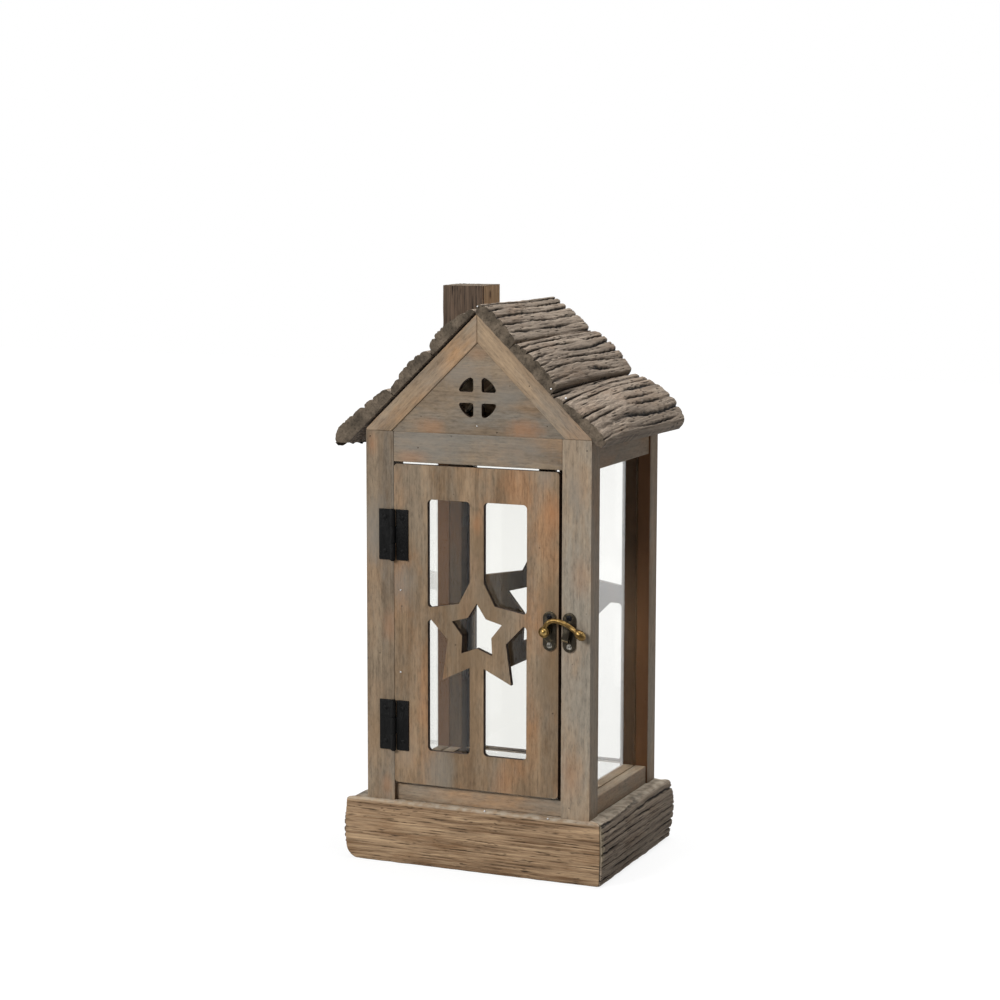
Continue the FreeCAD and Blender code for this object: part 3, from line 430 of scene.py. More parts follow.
BOARD_ROWS = 72
BOARD_CROWN = 0.0008
LOG_CROWN = 0.0028
CORNER_ROUND = 0.010          # the worn lower corner at the front left
MITRE_SHIFT = 0.0019          # the front board reaches further left than its mitre


def corner_wear(height):
    return rounding(height, CORNER_ROUND) if height < CORNER_ROUND else 0.0


def front_skin(w, t):
    return FOOT_THICK + BOARD_CROWN * sin(pi * w)


def side_skin(w, t):
    return FOOT_THICK + BOARD_CROWN + LOG_CROWN * sin(pi * w)


def flat_back(a, t):
    return 0.0


def foot_ends(low, high, wear_low, wear_high):
    """Mitred ends: a board is longer at its outside than at its inside."""
    def reach(a, b):
        inward = FOOT_THICK - b
        start = low + inward + (corner_wear(a) if wear_low else 0)
        end = high - inward - (corner_wear(a) if wear_high else 0)
        return start, end
    return reach


def dusty_ledge(tree, shade):
    """Pale sawdust that stayed on the top of the board, before the sill."""
    spot = object_spot(tree)
    top = spread(tree, axes_of(tree, spot)["Z"], FOOT_TALL - 0.0022, FOOT_TALL - 0.0006)
    patchy = speckle(tree, spot, 160.0, 4.0)
    amount = maths(tree, "MULTIPLY", top, ramp(tree, patchy, (0.38, 0.25), (0.62, 0.85)))
    return mix(tree, amount, shade, colour(184, 172, 154))


def pale_chip(tree, shade):
    """A bright splintered strip at the mitre, on the side board's front end."""
    spot = object_spot(tree)
    axes = axes_of(tree, spot)
    ragged = speckle(tree, spot, 220.0, 3.0)
    edge = maths(tree, "MULTIPLY_ADD", ragged, 0.009, FOOT_FRONT - 0.0022)
    near = maths(tree, "LESS_THAN", axes["Y"], edge)
    high = spread(tree, axes["Z"], 0.012, 0.022)
    outer = maths(tree, "GREATER_THAN", axes["X"], 0.0)
    fine = grain_noise(tree, spot, 0.3, 900, 3.0)
    pale = ramp(tree, fine, (0.35, colour(112, 100, 80)), (0.6, colour(172, 158, 134)))
    chip = maths(tree, "MULTIPLY", maths(tree, "MULTIPLY", near, high), outer)
    return mix(tree, maths(tree, "MULTIPLY", chip, 0.7), dusty_ledge(tree, shade), pale)


SAWN = ((190, 160, 126), (114, 87, 62), (50, 37, 27), (124, 90, 58))
LOG_BACK = ((156, 141, 124), (100, 87, 74), (32, 27, 22), (118, 97, 76))
foot_sawn = weathered_wood("foot_sawn", GRAIN_ACROSS, SAWN, 0.6, 0.85, 0.0005, extra=dusty_ledge)
foot_bark = weathered_wood("foot_bark", GRAIN_BACK, LOG_BACK, 0.5, 1.15, 0.0005, extra=pale_chip)
foot_bark_back = weathered_wood("foot_bark_back", GRAIN_ACROSS, LOG_BACK, 0.5, 1.1, 0.0005, extra=dusty_ledge)
SAWN_RELIEF = dict(spacing=0.0019, run=0.05, depth=0.00042, wave=0.0005, grit=0.00016, edge=0.0014)
LOG_RELIEF = dict(spacing=0.0049, run=0.09, depth=0.0021, wave=0.0009, grit=0.00028, edge=0.0026)

front_board = slab(
    "foot_front", 290, BOARD_ROWS, lambda t: (0.0, FOOT_TALL), front_skin, flat_back,
    foot_ends(FOOT_LEFT - MITRE_SHIFT, FOOT_RIGHT - 0.0003, True, False),
    lambda a, b, along: Vector((along, FOOT_INNER_FRONT - b, a)), dict(SAWN_RELIEF, seed=3.0))
dress(front_board, "base_front_board", foot_sawn)
back_board = slab(
    "foot_back", 260, BOARD_ROWS, lambda t: (0.0, FOOT_TALL), front_skin, flat_back,
    foot_ends(FOOT_LEFT, FOOT_RIGHT, False, False),
    lambda a, b, along: Vector((along, FOOT_INNER_BACK + b, a)), dict(LOG_RELIEF, seed=11.0, depth=0.0014))
dress(back_board, "base_back_board", foot_bark_back)
right_board = slab(
    "foot_right", 220, BOARD_ROWS, lambda t: (0.0, FOOT_TALL), side_skin, flat_back,
    foot_ends(FOOT_FRONT + 0.0005, FOOT_BACK, False, False),
    lambda a, b, along: Vector((FOOT_INNER_RIGHT + b, along, a)), dict(LOG_RELIEF, seed=23.0))
dress(right_board, "base_right_board", foot_bark)
left_board = slab(
    "foot_left", 220, BOARD_ROWS, lambda t: (0.0, FOOT_TALL),
    lambda w, t: side_skin(w, t) - corner_wear(w * FOOT_TALL) * max(0.0, 1 - 6 * t), flat_back,
    foot_ends(FOOT_FRONT + MITRE_SHIFT, FOOT_BACK, False, False),
    lambda a, b, along: Vector((FOOT_INNER_LEFT - b, along, a)), dict(LOG_RELIEF, seed=31.0))
dress(left_board, "base_left_board", foot_bark)

# ---------------------------------------------------------------- posts and rails
# Planed softwood with a thin grey-brown wash that lets warm patches show. The arrises are
# eased with sandpaper. Inside, the back posts and rails have only a dark brown stain, made darker still as
# painted shade.
planed_wood, given, result = new_group("planed_wood", [
    ("Vector", VECTOR), ("Pale", COLOUR), ("Dark", COLOUR), ("Warm", COLOUR), ("Wash", COLOUR),
    ("Warmth", FLOAT), ("Washed", FLOAT)], SURFACE)
fibres = grain_noise(planed_wood, given["Vector"], 0.02, 1700, 6.0, 0.75)
streaks = grain_noise(planed_wood, given["Vector"], 0.03, 300, 6.0, 0.65, 0.5)
broad = grain_noise(planed_wood, given["Vector"], 0.12, 70, 3.0, 0.5, 0.3)
tone = maths(planed_wood, "MULTIPLY_ADD", broad, 0.65, maths(planed_wood, "MULTIPLY", streaks, 0.35))
body = mix(planed_wood, ramp(planed_wood, tone, (0.38, 0.0), (0.62, 1.0)), given["Dark"], given["Pale"])
warm_spots = grain_noise(planed_wood, given["Vector"], 0.45, 27, 4.0, 0.6)
warmed = ramp(planed_wood, warm_spots, (0.5, 0.0), (0.64, 1.0))
warm_mask = maths(planed_wood, "MULTIPLY", warmed, given["Warmth"])
body = mix(planed_wood, warm_mask, body, given["Warm"])
shifted = vector_maths(planed_wood, "ADD", given["Vector"], (0.37, 0.21, 0.13))[0]
wash_spots = grain_noise(planed_wood, shifted, 0.3, 38, 6.0, 0.65)
washed_over = ramp(planed_wood, wash_spots, (0.44, 0.0), (0.6, 1.0))
wash_mask = maths(planed_wood, "MULTIPLY", washed_over, given["Washed"])
body = mix(planed_wood, wash_mask, body, given["Wash"])
mottle = grain_noise(planed_wood, given["Vector"], 0.28, 560, 5.0, 0.7)
grainy = maths(planed_wood, "MULTIPLY_ADD", mottle, 0.6, maths(planed_wood, "MULTIPLY", fibres, 0.45))
grain_shade = ramp(planed_wood, grainy, (0.38, 0.62), (0.5, 0.98), (0.64, 1.24))
body = mix(planed_wood, 1.0, body, grain_shade, "MULTIPLY")
specks = put(planed_wood, "ShaderNodeTexVoronoi", {"Vector": given["Vector"], "Scale": 95.0}).outputs
speck_mask = ramp(planed_wood, specks["Distance"], (0.035, 1.0), (0.075, 0.0))
chance = put(planed_wood, "ShaderNodeSeparateColor", {0: specks["Color"]}).outputs[0]
rare = maths(planed_wood, "GREATER_THAN", chance, 0.72)
speck_mask = maths(planed_wood, "MULTIPLY", speck_mask, rare)
body = mix(planed_wood, maths(planed_wood, "MULTIPLY", speck_mask, 0.8), body, colour(52, 42, 34))
scratches = grain_noise(planed_wood, shifted, 0.025, 520, 3.0, 0.6, 0.4)
scratch_mask = ramp(planed_wood, scratches, (0.66, 0.0), (0.78, 0.3))
body = mix(planed_wood, scratch_mask, body, colour(70, 58, 48))
planed_wood.links.new(body, result["Color"])
planed_wood.links.new(maths(planed_wood, "MULTIPLY_ADD", fibres, 0.25, 0.52), result["Roughness"])
relief = maths(planed_wood, "MULTIPLY_ADD", streaks, 0.5, fibres)
planed_wood.links.new(maths(planed_wood, "SUBTRACT", relief, speck_mask), result["Height"])

HOUSE = ((166, 148, 126), (130, 112, 92), (168, 132, 96), (140, 136, 126))
DUSKY = ((144, 126, 104), (108, 92, 74), (154, 120, 86), (120, 114, 104))
BOARD = ((154, 129, 101), (118, 96, 72), (166, 115, 72), (130, 121, 106))
SLOPED = ((166, 142, 114), (126, 106, 84), (176, 134, 92), (134, 129, 120))
ORANGE = (178, 122, 78)
OLIVE = (126, 103, 76)
BLUE_GREY = (134, 130, 122)
PALE_BARE = (166, 146, 124)
# Dark brown stain of the faces inside the house, darkened further as painted shade.
INSIDE_STAIN_AND_SHADE = ((76, 60, 43), (50, 39, 27), (84, 56, 32), (66, 58, 47))


def planed_material(name, turn, tones, warmth, washed, relief=0.0003, shift=(0, 0, 0), extra=None):
    material, tree = blank_material(name)
    group = put(tree, "ShaderNodeGroup", node_tree=planed_wood)
    tree.links.new(along_grain(tree, turn, shift), group.inputs["Vector"])
    for socket, tone in zip(("Pale", "Dark", "Warm", "Wash"), tones):
        group.inputs[socket].default_value = colour(*tone)
    group.inputs["Warmth"].default_value = warmth
    group.inputs["Washed"].default_value = washed
    finish_surface(tree, group, relief, extra(tree, group.outputs["Color"]) if extra else None)
    return material


def as_mesh(piece):
    """The piece with its modifiers made into plain faces."""
    shown = piece.evaluated_get(bpy.context.evaluated_depsgraph_get())
    mesh = bpy.data.meshes.new_from_object(shown)
    piece.modifiers.clear()
    piece.data = mesh
    return piece


def eased(node, name, width, segments=2, smooth=None, reshape=None):
    """A merged copy of a node with its sharp edges rounded over."""
    form = bmesh.new()
    form.from_mesh(frame["nodes"][node].data)
    bmesh.ops.remove_doubles(form, verts=form.verts, dist=1e-6)
    bmesh.ops.dissolve_limit(form, angle_limit=radians(1), verts=form.verts, edges=form.edges)
    if reshape:
        reshape(form)
    mesh = bpy.data.meshes.new(name)
    form.to_mesh(mesh)
    form.free()
    piece = linked(name, mesh)
    if width:
        bevel = piece.modifiers.new("eased", "BEVEL")
        bevel.width = width
        bevel.segments = segments
        bevel.limit_method = "ANGLE"
        bevel.angle_limit = radians(32)
        as_mesh(piece)
    if smooth:
        piece.data.shade_smooth()
        piece.data.set_sharp_from_angle(angle=radians(smooth))
    return piece


def second_finish(piece, test):
    """Gives the faces that pass a test on their normal the piece's second finish."""
    for face in piece.data.polygons:
        face.material_index = 1 if test(face.normal) else 0


def worn(*spots, first=None, wide=1.5, tall=0.8):
    """Patches where the wash was rubbed or smeared: place, reach, strength and colour of each."""
    def patched(tree, shade):
        shade = first(tree, shade) if first else shade
        spot = object_spot(tree)
        ragged = grain_noise(tree, spot, 0.4, 120, 6.0, 0.75)
        for x, z, reach, strength, rubbed in spots:
            offset = vector_maths(tree, "SUBTRACT", spot, (x, 0, z))[0]
            flat = vector_maths(tree, "MULTIPLY", offset, (wide, 0, tall))[0]
            away = vector_maths(tree, "LENGTH", flat)["Value"]
            near = maths(tree, "MULTIPLY_ADD", away, -1 / reach, maths(tree, "ADD", ragged, 0.4))
            patch = maths(tree, "MULTIPLY", ramp(tree, near, (0.1, 0.0), (0.75, 1.0)), strength)
            shade = mix(tree, patch, shade, colour(*rubbed))
        return shade
    return patched


def shaded_side(tree, shade):
    """Painted shade: faces that turn to the sides are multiplied darker and browner, by their normal."""
    normal = put(tree, "ShaderNodeTexCoord").outputs["Normal"]
    sideways = maths(tree, "ABSOLUTE", axes_of(tree, normal)["X"])
    return mix(tree, maths(tree, "MULTIPLY", sideways, 0.45), shade, colour(180, 160, 136), "MULTIPLY")


def rusty_outside(tree, shade):
    """Beyond the panes the dark stain let a redder brown through."""
    outward = maths(tree, "ABSOLUTE", axes_of(tree, object_spot(tree))["X"])
    outside = maths(tree, "GREATER_THAN", outward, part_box("glass_right")[1][0] - 0.0003)
    return mix(tree, maths(tree, "MULTIPLY", outside, 0.75), shade, colour(112, 74, 42))


wood_up = planed_material("wood_up", GRAIN_UP, HOUSE, 0.35, 0.6, extra=worn(
    (0.074, 0.275, 0.018, 0.4, BLUE_GREY), (0.070, 0.075, 0.022, 0.25, ORANGE),
    (0.078, 0.215, 0.018, 0.2, ORANGE), first=shaded_side))
wood_up_left = planed_material("wood_up_left", GRAIN_UP, DUSKY, 0.35, 0.6, shift=(0.2, 0.1, 0.33), extra=worn(
    (-0.080, 0.240, 0.030, 0.55, BLUE_GREY), (-0.067, 0.170, 0.016, 0.3, ORANGE),
    (-0.080, 0.300, 0.010, 0.35, ORANGE), (-0.076, 0.095, 0.022, 0.4, OLIVE),
    (-0.070, 0.056, 0.010, 0.3, ORANGE), first=shaded_side))
wood_across = planed_material("wood_across", GRAIN_ACROSS, DUSKY, 0.45, 0.85, extra=worn(
    (-0.040, 0.305, 0.040, 0.5, BLUE_GREY), (-0.050, 0.292, 0.012, 0.3, ORANGE),
    (0.030, 0.303, 0.030, 0.4, BLUE_GREY), wide=0.6, tall=1.5))
sill_wood = planed_material("sill_wood", GRAIN_ACROSS, HOUSE, 0.8, 0.4, shift=(0.4, 0.2, 0.1))
wood_deep = planed_material("wood_deep", GRAIN_BACK, HOUSE, 0.6, 0.5, extra=shaded_side)
# Inside finishes: the dark stain together with painted shade, for faces that look into the house.
stain_and_shade_up = planed_material("stain_and_shade_up", GRAIN_UP, INSIDE_STAIN_AND_SHADE, 0.7, 0.2, extra=rusty_outside)
stain_and_shade_deep = planed_material("stain_and_shade_deep", GRAIN_BACK, INSIDE_STAIN_AND_SHADE, 0.5, 0.3)
POST_EASE = 0.0007
for end in ("front", "back"):
    for side in ("left", "right"):
        node = f"post_{end}_{side}"
        post = eased(node, f"{end}_{side}_post", POST_EASE)
        dress(post, node, wood_up_left if side == "left" else wood_up, stain_and_shade_up)
        inward = 1 if side == "left" else -1
        if end == "back":
            second_finish(post, lambda normal: normal.y < -0.7 or normal.x * inward > 0.7)
        else:
            second_finish(post, lambda normal: normal.y > 0.7)
for side in ("left", "right"):
    for level in ("lower", "upper"):
        node = f"rail_{side}_{level}"
        rail = eased(node, f"{side}_{level}_rail", POST_EASE)
        dress(rail, node, wood_deep, stain_and_shade_deep)
        inward = 1 if side == "left" else -1
        second_finish(rail, lambda normal: normal.x * inward > 0.7)
for node, name in (("rail_front_lower", "sill"), ("rail_front_upper", "lintel"),
                   ("rail_back_lower", "back_sill"), ("rail_back_upper", "back_lintel")):
    rail = eased(node, name, POST_EASE)
    dress(rail, node, sill_wood if name == "sill" else wood_across, stain_and_shade_deep)
    outward = -1 if "front" in node else 1
    second_finish(rail, lambda normal: normal.y * outward < -0.7)

# ---------------------------------------------------------------- floor
# A bright galvanised sheet lies loose on a plain board, between the rails and the posts.
# The tin of the clips that hold the panes is defined here too.
zinc, tree = blank_material("zinc")
spot = object_spot(tree)
clouds = speckle(tree, spot, 70.0, 5.0)
shader = put(tree, "ShaderNodeBsdfPrincipled", {
    "Base Color": ramp(tree, clouds, (0.3, 0.84), (0.7, 0.95)), "Metallic": 1.0,
    "Roughness": ramp(tree, clouds, (0.35, 0.06), (0.75, 0.2))})
show(tree, shader.outputs[0])


def finish_node(node, *finishes):
    """Keeps a node's own shape and gives it a finish."""
    shape = frame["nodes"][node]
    for index, finish in enumerate(finishes):
        shape.material_slots[index].material = finish


finish_node("floor_plate", zinc)
# The floor board inside takes the same dark stain with painted shade.
finish_node("floor_board", stain_and_shade_deep)
dark_tin, tree = blank_material("dark_tin")
spot = object_spot(tree)
clouds = speckle(tree, spot, 300.0, 4.0)
tin = ramp(tree, clouds, (0.3, colour(52, 46, 38)), (0.7, colour(84, 76, 66)))
shader = put(tree, "ShaderNodeBsdfPrincipled", {"Base Color": tin, "Metallic": 0.6, "Roughness": 0.55})
show(tree, shader.outputs[0])
finish_node("glass_back_clips", dark_tin)
finish_node("door_glass_clips", dark_tin)


# ---------------------------------------------------------------- panes
# Clear float glass: two panes in grooves at the sides, one behind the door, one behind the
# back board. How far they bend light is set for the mirroring; real glass has 1.52.
def clear_glass(name, tint, bend):
    material, tree = blank_material(name)
    glass = put(tree, "ShaderNodeBsdfPrincipled", {
        "Base Color": tint, "Roughness": 0.0, "IOR": bend, "Transmission Weight": 1.0})
    through = put(tree, "ShaderNodeBsdfTransparent", {0: tint})
    shadow = put(tree, "ShaderNodeLightPath").outputs["Is Shadow Ray"]
    pane = put(tree, "ShaderNodeMixShader", {0: shadow, 1: glass.outputs[0], 2: through.outputs[0]})
    show(tree, pane.outputs[0])
    return material


side_glass = clear_glass("side_glass", (0.90, 0.90, 0.885, 1), 1.75)
door_glass = clear_glass("door_glass", (0.915, 0.915, 0.895, 1), 1.4)
for node in ("glass_left", "glass_right"):
    finish_node(node, side_glass)
for node in ("glass_back", "door_glass"):
    finish_node(node, door_glass)

# ---------------------------------------------------------------- fretwork boards
# The door, the back and both gables are laser-cut from thin board, so every cut edge is
# burnt nearly black. The faces have a warm brown wash, thin and orange in places.
burnt_and_gap_shade, tree = blank_material("burnt_edge_and_gap_shade")
spot = object_spot(tree)
soot = speckle(tree, spot, 600.0, 4.0)
char = put(tree, "ShaderNodeBsdfPrincipled", {
    "Base Color": ramp(tree, soot, (0.3, colour(38, 27, 20)), (0.7, colour(74, 54, 38))), "Roughness": 0.8})
show(tree, char.outputs[0])
door_face = planed_material("door_face", GRAIN_UP, BOARD, 0.4, 0.5, extra=worn(
    (0.0, 0.172, 0.055, 0.7, OLIVE), (0.0, 0.232, 0.022, 0.6, OLIVE), (0.0, 0.105, 0.020, 0.4, OLIVE),
    (0.056, 0.145, 0.032, 0.65, OLIVE), (0.056, 0.195, 0.025, 0.6, OLIVE),
    (-0.056, 0.085, 0.024, 0.5, PALE_BARE), (0.057, 0.258, 0.018, 0.55, ORANGE),
    (0.0, 0.248, 0.010, 0.35, ORANGE), (0.030, 0.283, 0.026, 0.2, ORANGE),
    (-0.056, 0.200, 0.022, 0.5, BLUE_GREY), (0.052, 0.284, 0.012, 0.4, BLUE_GREY),
    (-0.030, 0.070, 0.030, 0.45, BLUE_GREY), (0.020, 0.066, 0.016, 0.25, ORANGE)), shift=(0.31, 0.4, 0.12))
back_face = planed_material("back_face", GRAIN_UP, BOARD, 0.3, 0.6, shift=(0.11, 0.2, 0.52))
gable_face = planed_material("gable_face", GRAIN_ACROSS, DUSKY, 0.35, 0.8, extra=worn(
    (0.0, 0.366, 0.010, 0.2, ORANGE), (0.034, 0.315, 0.016, 0.4, ORANGE), (-0.035, 0.314, 0.014, 0.3, ORANGE),
    (-0.014, 0.352, 0.022, 0.55, BLUE_GREY), (0.022, 0.340, 0.024, 0.4, BLUE_GREY),
    wide=0.7, tall=1.4), shift=(0.51, 0.1, 0.22))
FRET_EASE = 0.0003
VENT_HEIGHT = 0.3356
VENT_REACH = 0.0162           # a little more than the vent's radius
VENT_QUARTER = 0.0081         # middle of each of the vent's four holes
QUARTER_REACH = 0.0066        # and how far from it a hole may reach


def from_vent(corner):
    return Vector((corner.co.x, 0, corner.co.z - VENT_HEIGHT))


def round_vent(form):
    """Draws the corners of the vent's four holes in, so that they are well rounded."""
    rims = [edge for edge in form.edges if edge.calc_length() > 0.002
            and edge.calc_face_angle(0) > radians(60)
            and all(from_vent(corner).length < VENT_REACH for corner in edge.verts)
            and abs(edge.verts[0].co.y - edge.verts[1].co.y) < 0.001]
    bmesh.ops.subdivide_edges(form, edges=rims, cuts=9)
    for corner in form.verts:
        offset = from_vent(corner)
        if offset.length < VENT_REACH:
            middle = Vector((VENT_QUARTER * (1 if offset.x > 0 else -1), 0,
                             VENT_QUARTER * (1 if offset.z > 0 else -1)))
            away = offset - middle
            if away.length > QUARTER_REACH:
                held = middle + away * (QUARTER_REACH / away.length)
                corner.co.x = held.x
                corner.co.z = held.z + VENT_HEIGHT


def edge_on(normal):
    return abs(normal.y) < 0.6


for node, name, face in (("door_panel", "door", door_face), ("back_panel", "back_board", back_face),
                         ("gable_panel_front", "front_gable", gable_face),
                         ("gable_panel_back", "back_gable", gable_face)):
    fret = eased(node, name, FRET_EASE, 1, reshape=round_vent if node.startswith("gable") else None)
    dress(fret, node, face, burnt_and_gap_shade)
    second_finish(fret, edge_on)

# Thin dark lath on the post behind the door's free edge, a dark sheet put in as painted shade for the gap. It
# is assumed: the gap there is dark.
SHADE_LATH_THICK = 0.0022
SHADE_LATH_WIDE = 0.0048
form = bmesh.new()
bmesh.ops.create_cube(form, size=1.0)
post_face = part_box("post_front_right")[0][0]
lath_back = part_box("door_glass")[1][1] + 0.0003
lath_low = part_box("rail_front_lower")[1][2] + 0.0002
lath_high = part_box("rail_front_upper")[0][2] - 0.0002
lath_size = Vector((SHADE_LATH_WIDE, SHADE_LATH_THICK, lath_high - lath_low))
lath_middle = Vector((post_face - SHADE_LATH_WIDE / 2, lath_back + SHADE_LATH_THICK / 2, (lath_low + lath_high) / 2))
for corner in form.verts:
    corner.co = lath_middle + corner.co * lath_size
mesh = bpy.data.meshes.new("gap_shade_lath")
form.to_mesh(mesh)
form.free()
gap_shade_lath = linked("gap_shade_lath", mesh)
# The lath takes the burnt colour of the cut edges, as painted shade in the gap.
mesh.materials.append(burnt_and_gap_shade)
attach(gap_shade_lath, "house")

# ---------------------------------------------------------------- rafters
# Two pairs of planed battens, mitred upright at the ridge, washed thinner than the posts.
ROOF_SLOPE = 0.97
PITCH = atan(ROOF_SLOPE)
for end in ("front", "back"):
    for side, lean in (("left", -1), ("right", 1)):
        node = f"rafter_{end}_{side}"
        rafter = eased(node, f"{end}_{side}_rafter", POST_EASE)
        turn = (0, lean * (pi / 2 - PITCH), 0)
        shift = (0.2 * lean, 0.3, 0.1)
        batten = planed_material(f"{end}_{side}_batten", turn, SLOPED, 0.6, 0.45, shift=shift)
        dress(rafter, node, batten)

# ---------------------------------------------------------------- roof planks
# Six slabs from the outside of old weathered logs, laid along the ridge. Each keeps its long
# grey ridges and deep cracks; those on the right are thinned at their front ends.
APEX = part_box("rafter_front_left")[1][2]
ROOF_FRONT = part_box("roof_plank_left_upper")[0][1]
ROOF_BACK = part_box("roof_plank_left_upper")[1][1]
RIDGE_GAP = 0.00002
PLANK_STATIONS = 210


def roof_place(lean):
    def place(a, b, along):
        x = a * cos(PITCH) + b * sin(PITCH)
        z = APEX - a * sin(PITCH) + b * cos(PITCH)
        return Vector((lean * max(x, RIDGE_GAP), along, z))
    return place


def crowned(start, crown, crown_at, end, front_shares):
    """Height of a slab over the rafters, highest at its crown and thinner at its front."""
    upper_share, lower_share = front_shares
    def skin(w, t):
        if w < crown_at:
            tall = start + (crown - start) * sin(pi / 2 * w / crown_at)
        else:
            tall = end + (crown - end) * cos(pi / 2 * (w - crown_at) / (1 - crown_at))
        share = upper_share + (lower_share - upper_share) * w
        return tall * (share + (1 - share) * min(1.0, t / (0.2 + 0.4 * (1 - w))) ** 0.6)
    return skin


def ragged_ends(seed):
    def reach(a, b):
        front = ROOF_FRONT + 0.0012 * (1 + roughness(a, b, seed, 0.006, 0.01))
        back = ROOF_BACK - 0.0016 * (1 + roughness(a, b, seed + 3, 0.006, 0.01))
        return front, back
    return reach


def eave_cut(level, lift):
    """The back of a slab: along the rafters, then a level saw cut under the eave."""
    cut = (APEX - level) / sin(PITCH)

    def under(a, t):
        gap = lift * max(0.0, 1 - t / 0.12)
        return gap + max(0.0, (a - cut) * sin(PITCH) / cos(PITCH)) * (a > cut)
    return under


def widening(front, back):
    return lambda t: (front[0] + (back[0] - front[0]) * t, front[1] + (back[1] - front[1]) * t)


ROOF_GREY = ((164, 149, 133), (108, 95, 82), (28, 23, 19), (124, 101, 80))
roof_bark = weathered_wood("roof_bark", GRAIN_BACK, ROOF_GREY, 0.5, 1.2, 0.0006)
cut_end, tree = blank_material("cut_end")
spot = object_spot(tree)
pits = speckle(tree, spot, 520.0, 6.0, 0.7)
patches = speckle(tree, spot, 90.0, 3.0)
tone = ramp(tree, patches, (0.35, colour(82, 73, 62)), (0.65, colour(118, 105, 90)))
tone = mix(tree, 1.0, tone, ramp(tree, pits, (0.36, 0.55), (0.5, 0.98), (0.66, 1.2)), "MULTIPLY")
bump = put(tree, "ShaderNodeBump", {"Height": pits, "Distance": 0.0008})
sawn_end = {"Base Color": tone, "Roughness": 0.9, "Specular IOR Level": 0.2, "Normal": bump.outputs[0]}
show(tree, put(tree, "ShaderNodeBsdfPrincipled", sawn_end).outputs[0])
RIGHT_RIDGES = 0.0066
LEFT_RIDGES = 0.0084
LEFT_LIFT = 0.0017            # the left planks' backs stand off the front rafter by this
ROOF_RELIEF = dict(run=0.08, depth=0.0028, wave=0.001, grit=0.0003, edge=0.0030)
MM = 0.001
# name, lean, edges at the front and at the back along the slope, start, crown, place of
# the crown, end, share of the thickness left at the front; all along or square to the slope
PLANKS = (
    ("left_upper", -1, (-1.2, 43.5), (-1.2, 43.5), 4.0, 10.9, 0.7, 7.6, (1.0, 1.0)),
    ("left_middle", -1, (44.8, 86.0), (44.8, 86.0), 7.0, 10.4, 0.4, 6.4, (1.0, 1.0)),
    ("left_lower", -1, (86.6, 143.4), (86.6, 143.4), 9.6, 14.0, 0.80, 8.9, (1.0, 1.0)),
    ("right_upper", 1, (-3.2, 34.0), (-3.2, 37.0), 5.6, 9.4, 0.75, 9.0, (1.4, 0.85)),
    ("right_middle", 1, (34.4, 77.0), (37.4, 79.0), 11.0, 14.0, 0.5, 11.4, (0.6, 0.75)),
    ("right_lower", 1, (77.4, 128.0), (79.4, 133.4), 9.4, 19.7, 0.6, 14.2, (0.2, 0.5)),
)
for index, (name, lean, front, back, start, crown, crown_at, end, share) in enumerate(PLANKS):
    node = "roof_plank_" + name
    width = widening([edge * MM for edge in front], [edge * MM for edge in back])
    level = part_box(node)[0][2] if name.endswith("lower") else 0.0
    plank = slab(
        "plank_" + name, PLANK_STATIONS, 78, width,
        crowned(start * MM, crown * MM, crown_at, end * MM, share),
        eave_cut(level, LEFT_LIFT if lean < 0 else 0.0),
        ragged_ends(50.0 + index), roof_place(lean),
        dict(ROOF_RELIEF, seed=101.0 + 13 * index, spacing=RIGHT_RIDGES if lean > 0 else LEFT_RIDGES))
    dress(plank, node, roof_bark, cut_end)

# ---------------------------------------------------------------- chimney
# A short square block let into the left slope. Its front and left are old dark outside
# wood with upright cracks; its right side is a fresher, paler saw cut with one knot.
low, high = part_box("chimney")
CHIMNEY_TOP = high[2] - 0.0010
SEAT = 0.005 / cos(PITCH)
BLOCK_WIDE = 0.031
BLOCK_ROUND = 0.0012
side_steps = 34
rows_up = 80
corners = [(low[0], low[1]), (high[0], low[1]), (high[0], high[1]), (low[0], high[1])]
loops, furrows = [], []
for row in range(rows_up + 1):
    loop = []
    for side in range(4):
        (x0, y0), (x1, y1) = corners[side], corners[(side + 1) % 4]
        for step in range(side_steps):
            share = step / side_steps
            x, y = x0 + (x1 - x0) * share, y0 + (y1 - y0) * share
            foot = APEX + x * ROOF_SLOPE + SEAT
            z = foot + (CHIMNEY_TOP - foot) * row / rows_up
            around = side + share
            girth = around * BLOCK_WIDE
            deep = crack_depth(girth, z, 200.0, 0.0023, 0.05)
            eased_in = rounding(min(share, 1 - share) * BLOCK_WIDE, BLOCK_ROUND)
            inward = 0.0007 * deep + eased_in + 0.0002 * roughness(girth, z, 210.0, 0.001, 0.01)
            if side == 1:
                inward = 0.0002 + eased_in
            middle = Vector(((low[0] + high[0]) / 2, (low[1] + high[1]) / 2, 0))
            toward = (middle - Vector((x, y, 0))).normalized()
            point = Vector((x, y, z)) + toward * inward
            if row == rows_up:
                point.z -= 0.0004 + 0.0006 * abs(roughness(x, y, 220.0, 0.002, 0.002))
            loop.append(point)
            furrows.append(deep if side != 1 else 0.2)
    loops.append(loop)
count = 4 * side_steps
sides = [(row * count + step, row * count + (step + 1) % count, (row + 1) * count + (step + 1) % count,
          (row + 1) * count + step) for row in range(rows_up) for step in range(count)]
sides += [tuple(range(count)), tuple(range(rows_up * count, (rows_up + 1) * count))]
chimney = skinned("chimney_block", [point for loop in loops for point in loop], sides, furrows, 40)
DARK_BLOCK = ((108, 90, 75), (70, 57, 46), (22, 18, 15), (92, 68, 50))
PALE_BLOCK = ((198, 168, 134), (156, 126, 96), (66, 48, 34), (160, 122, 88))


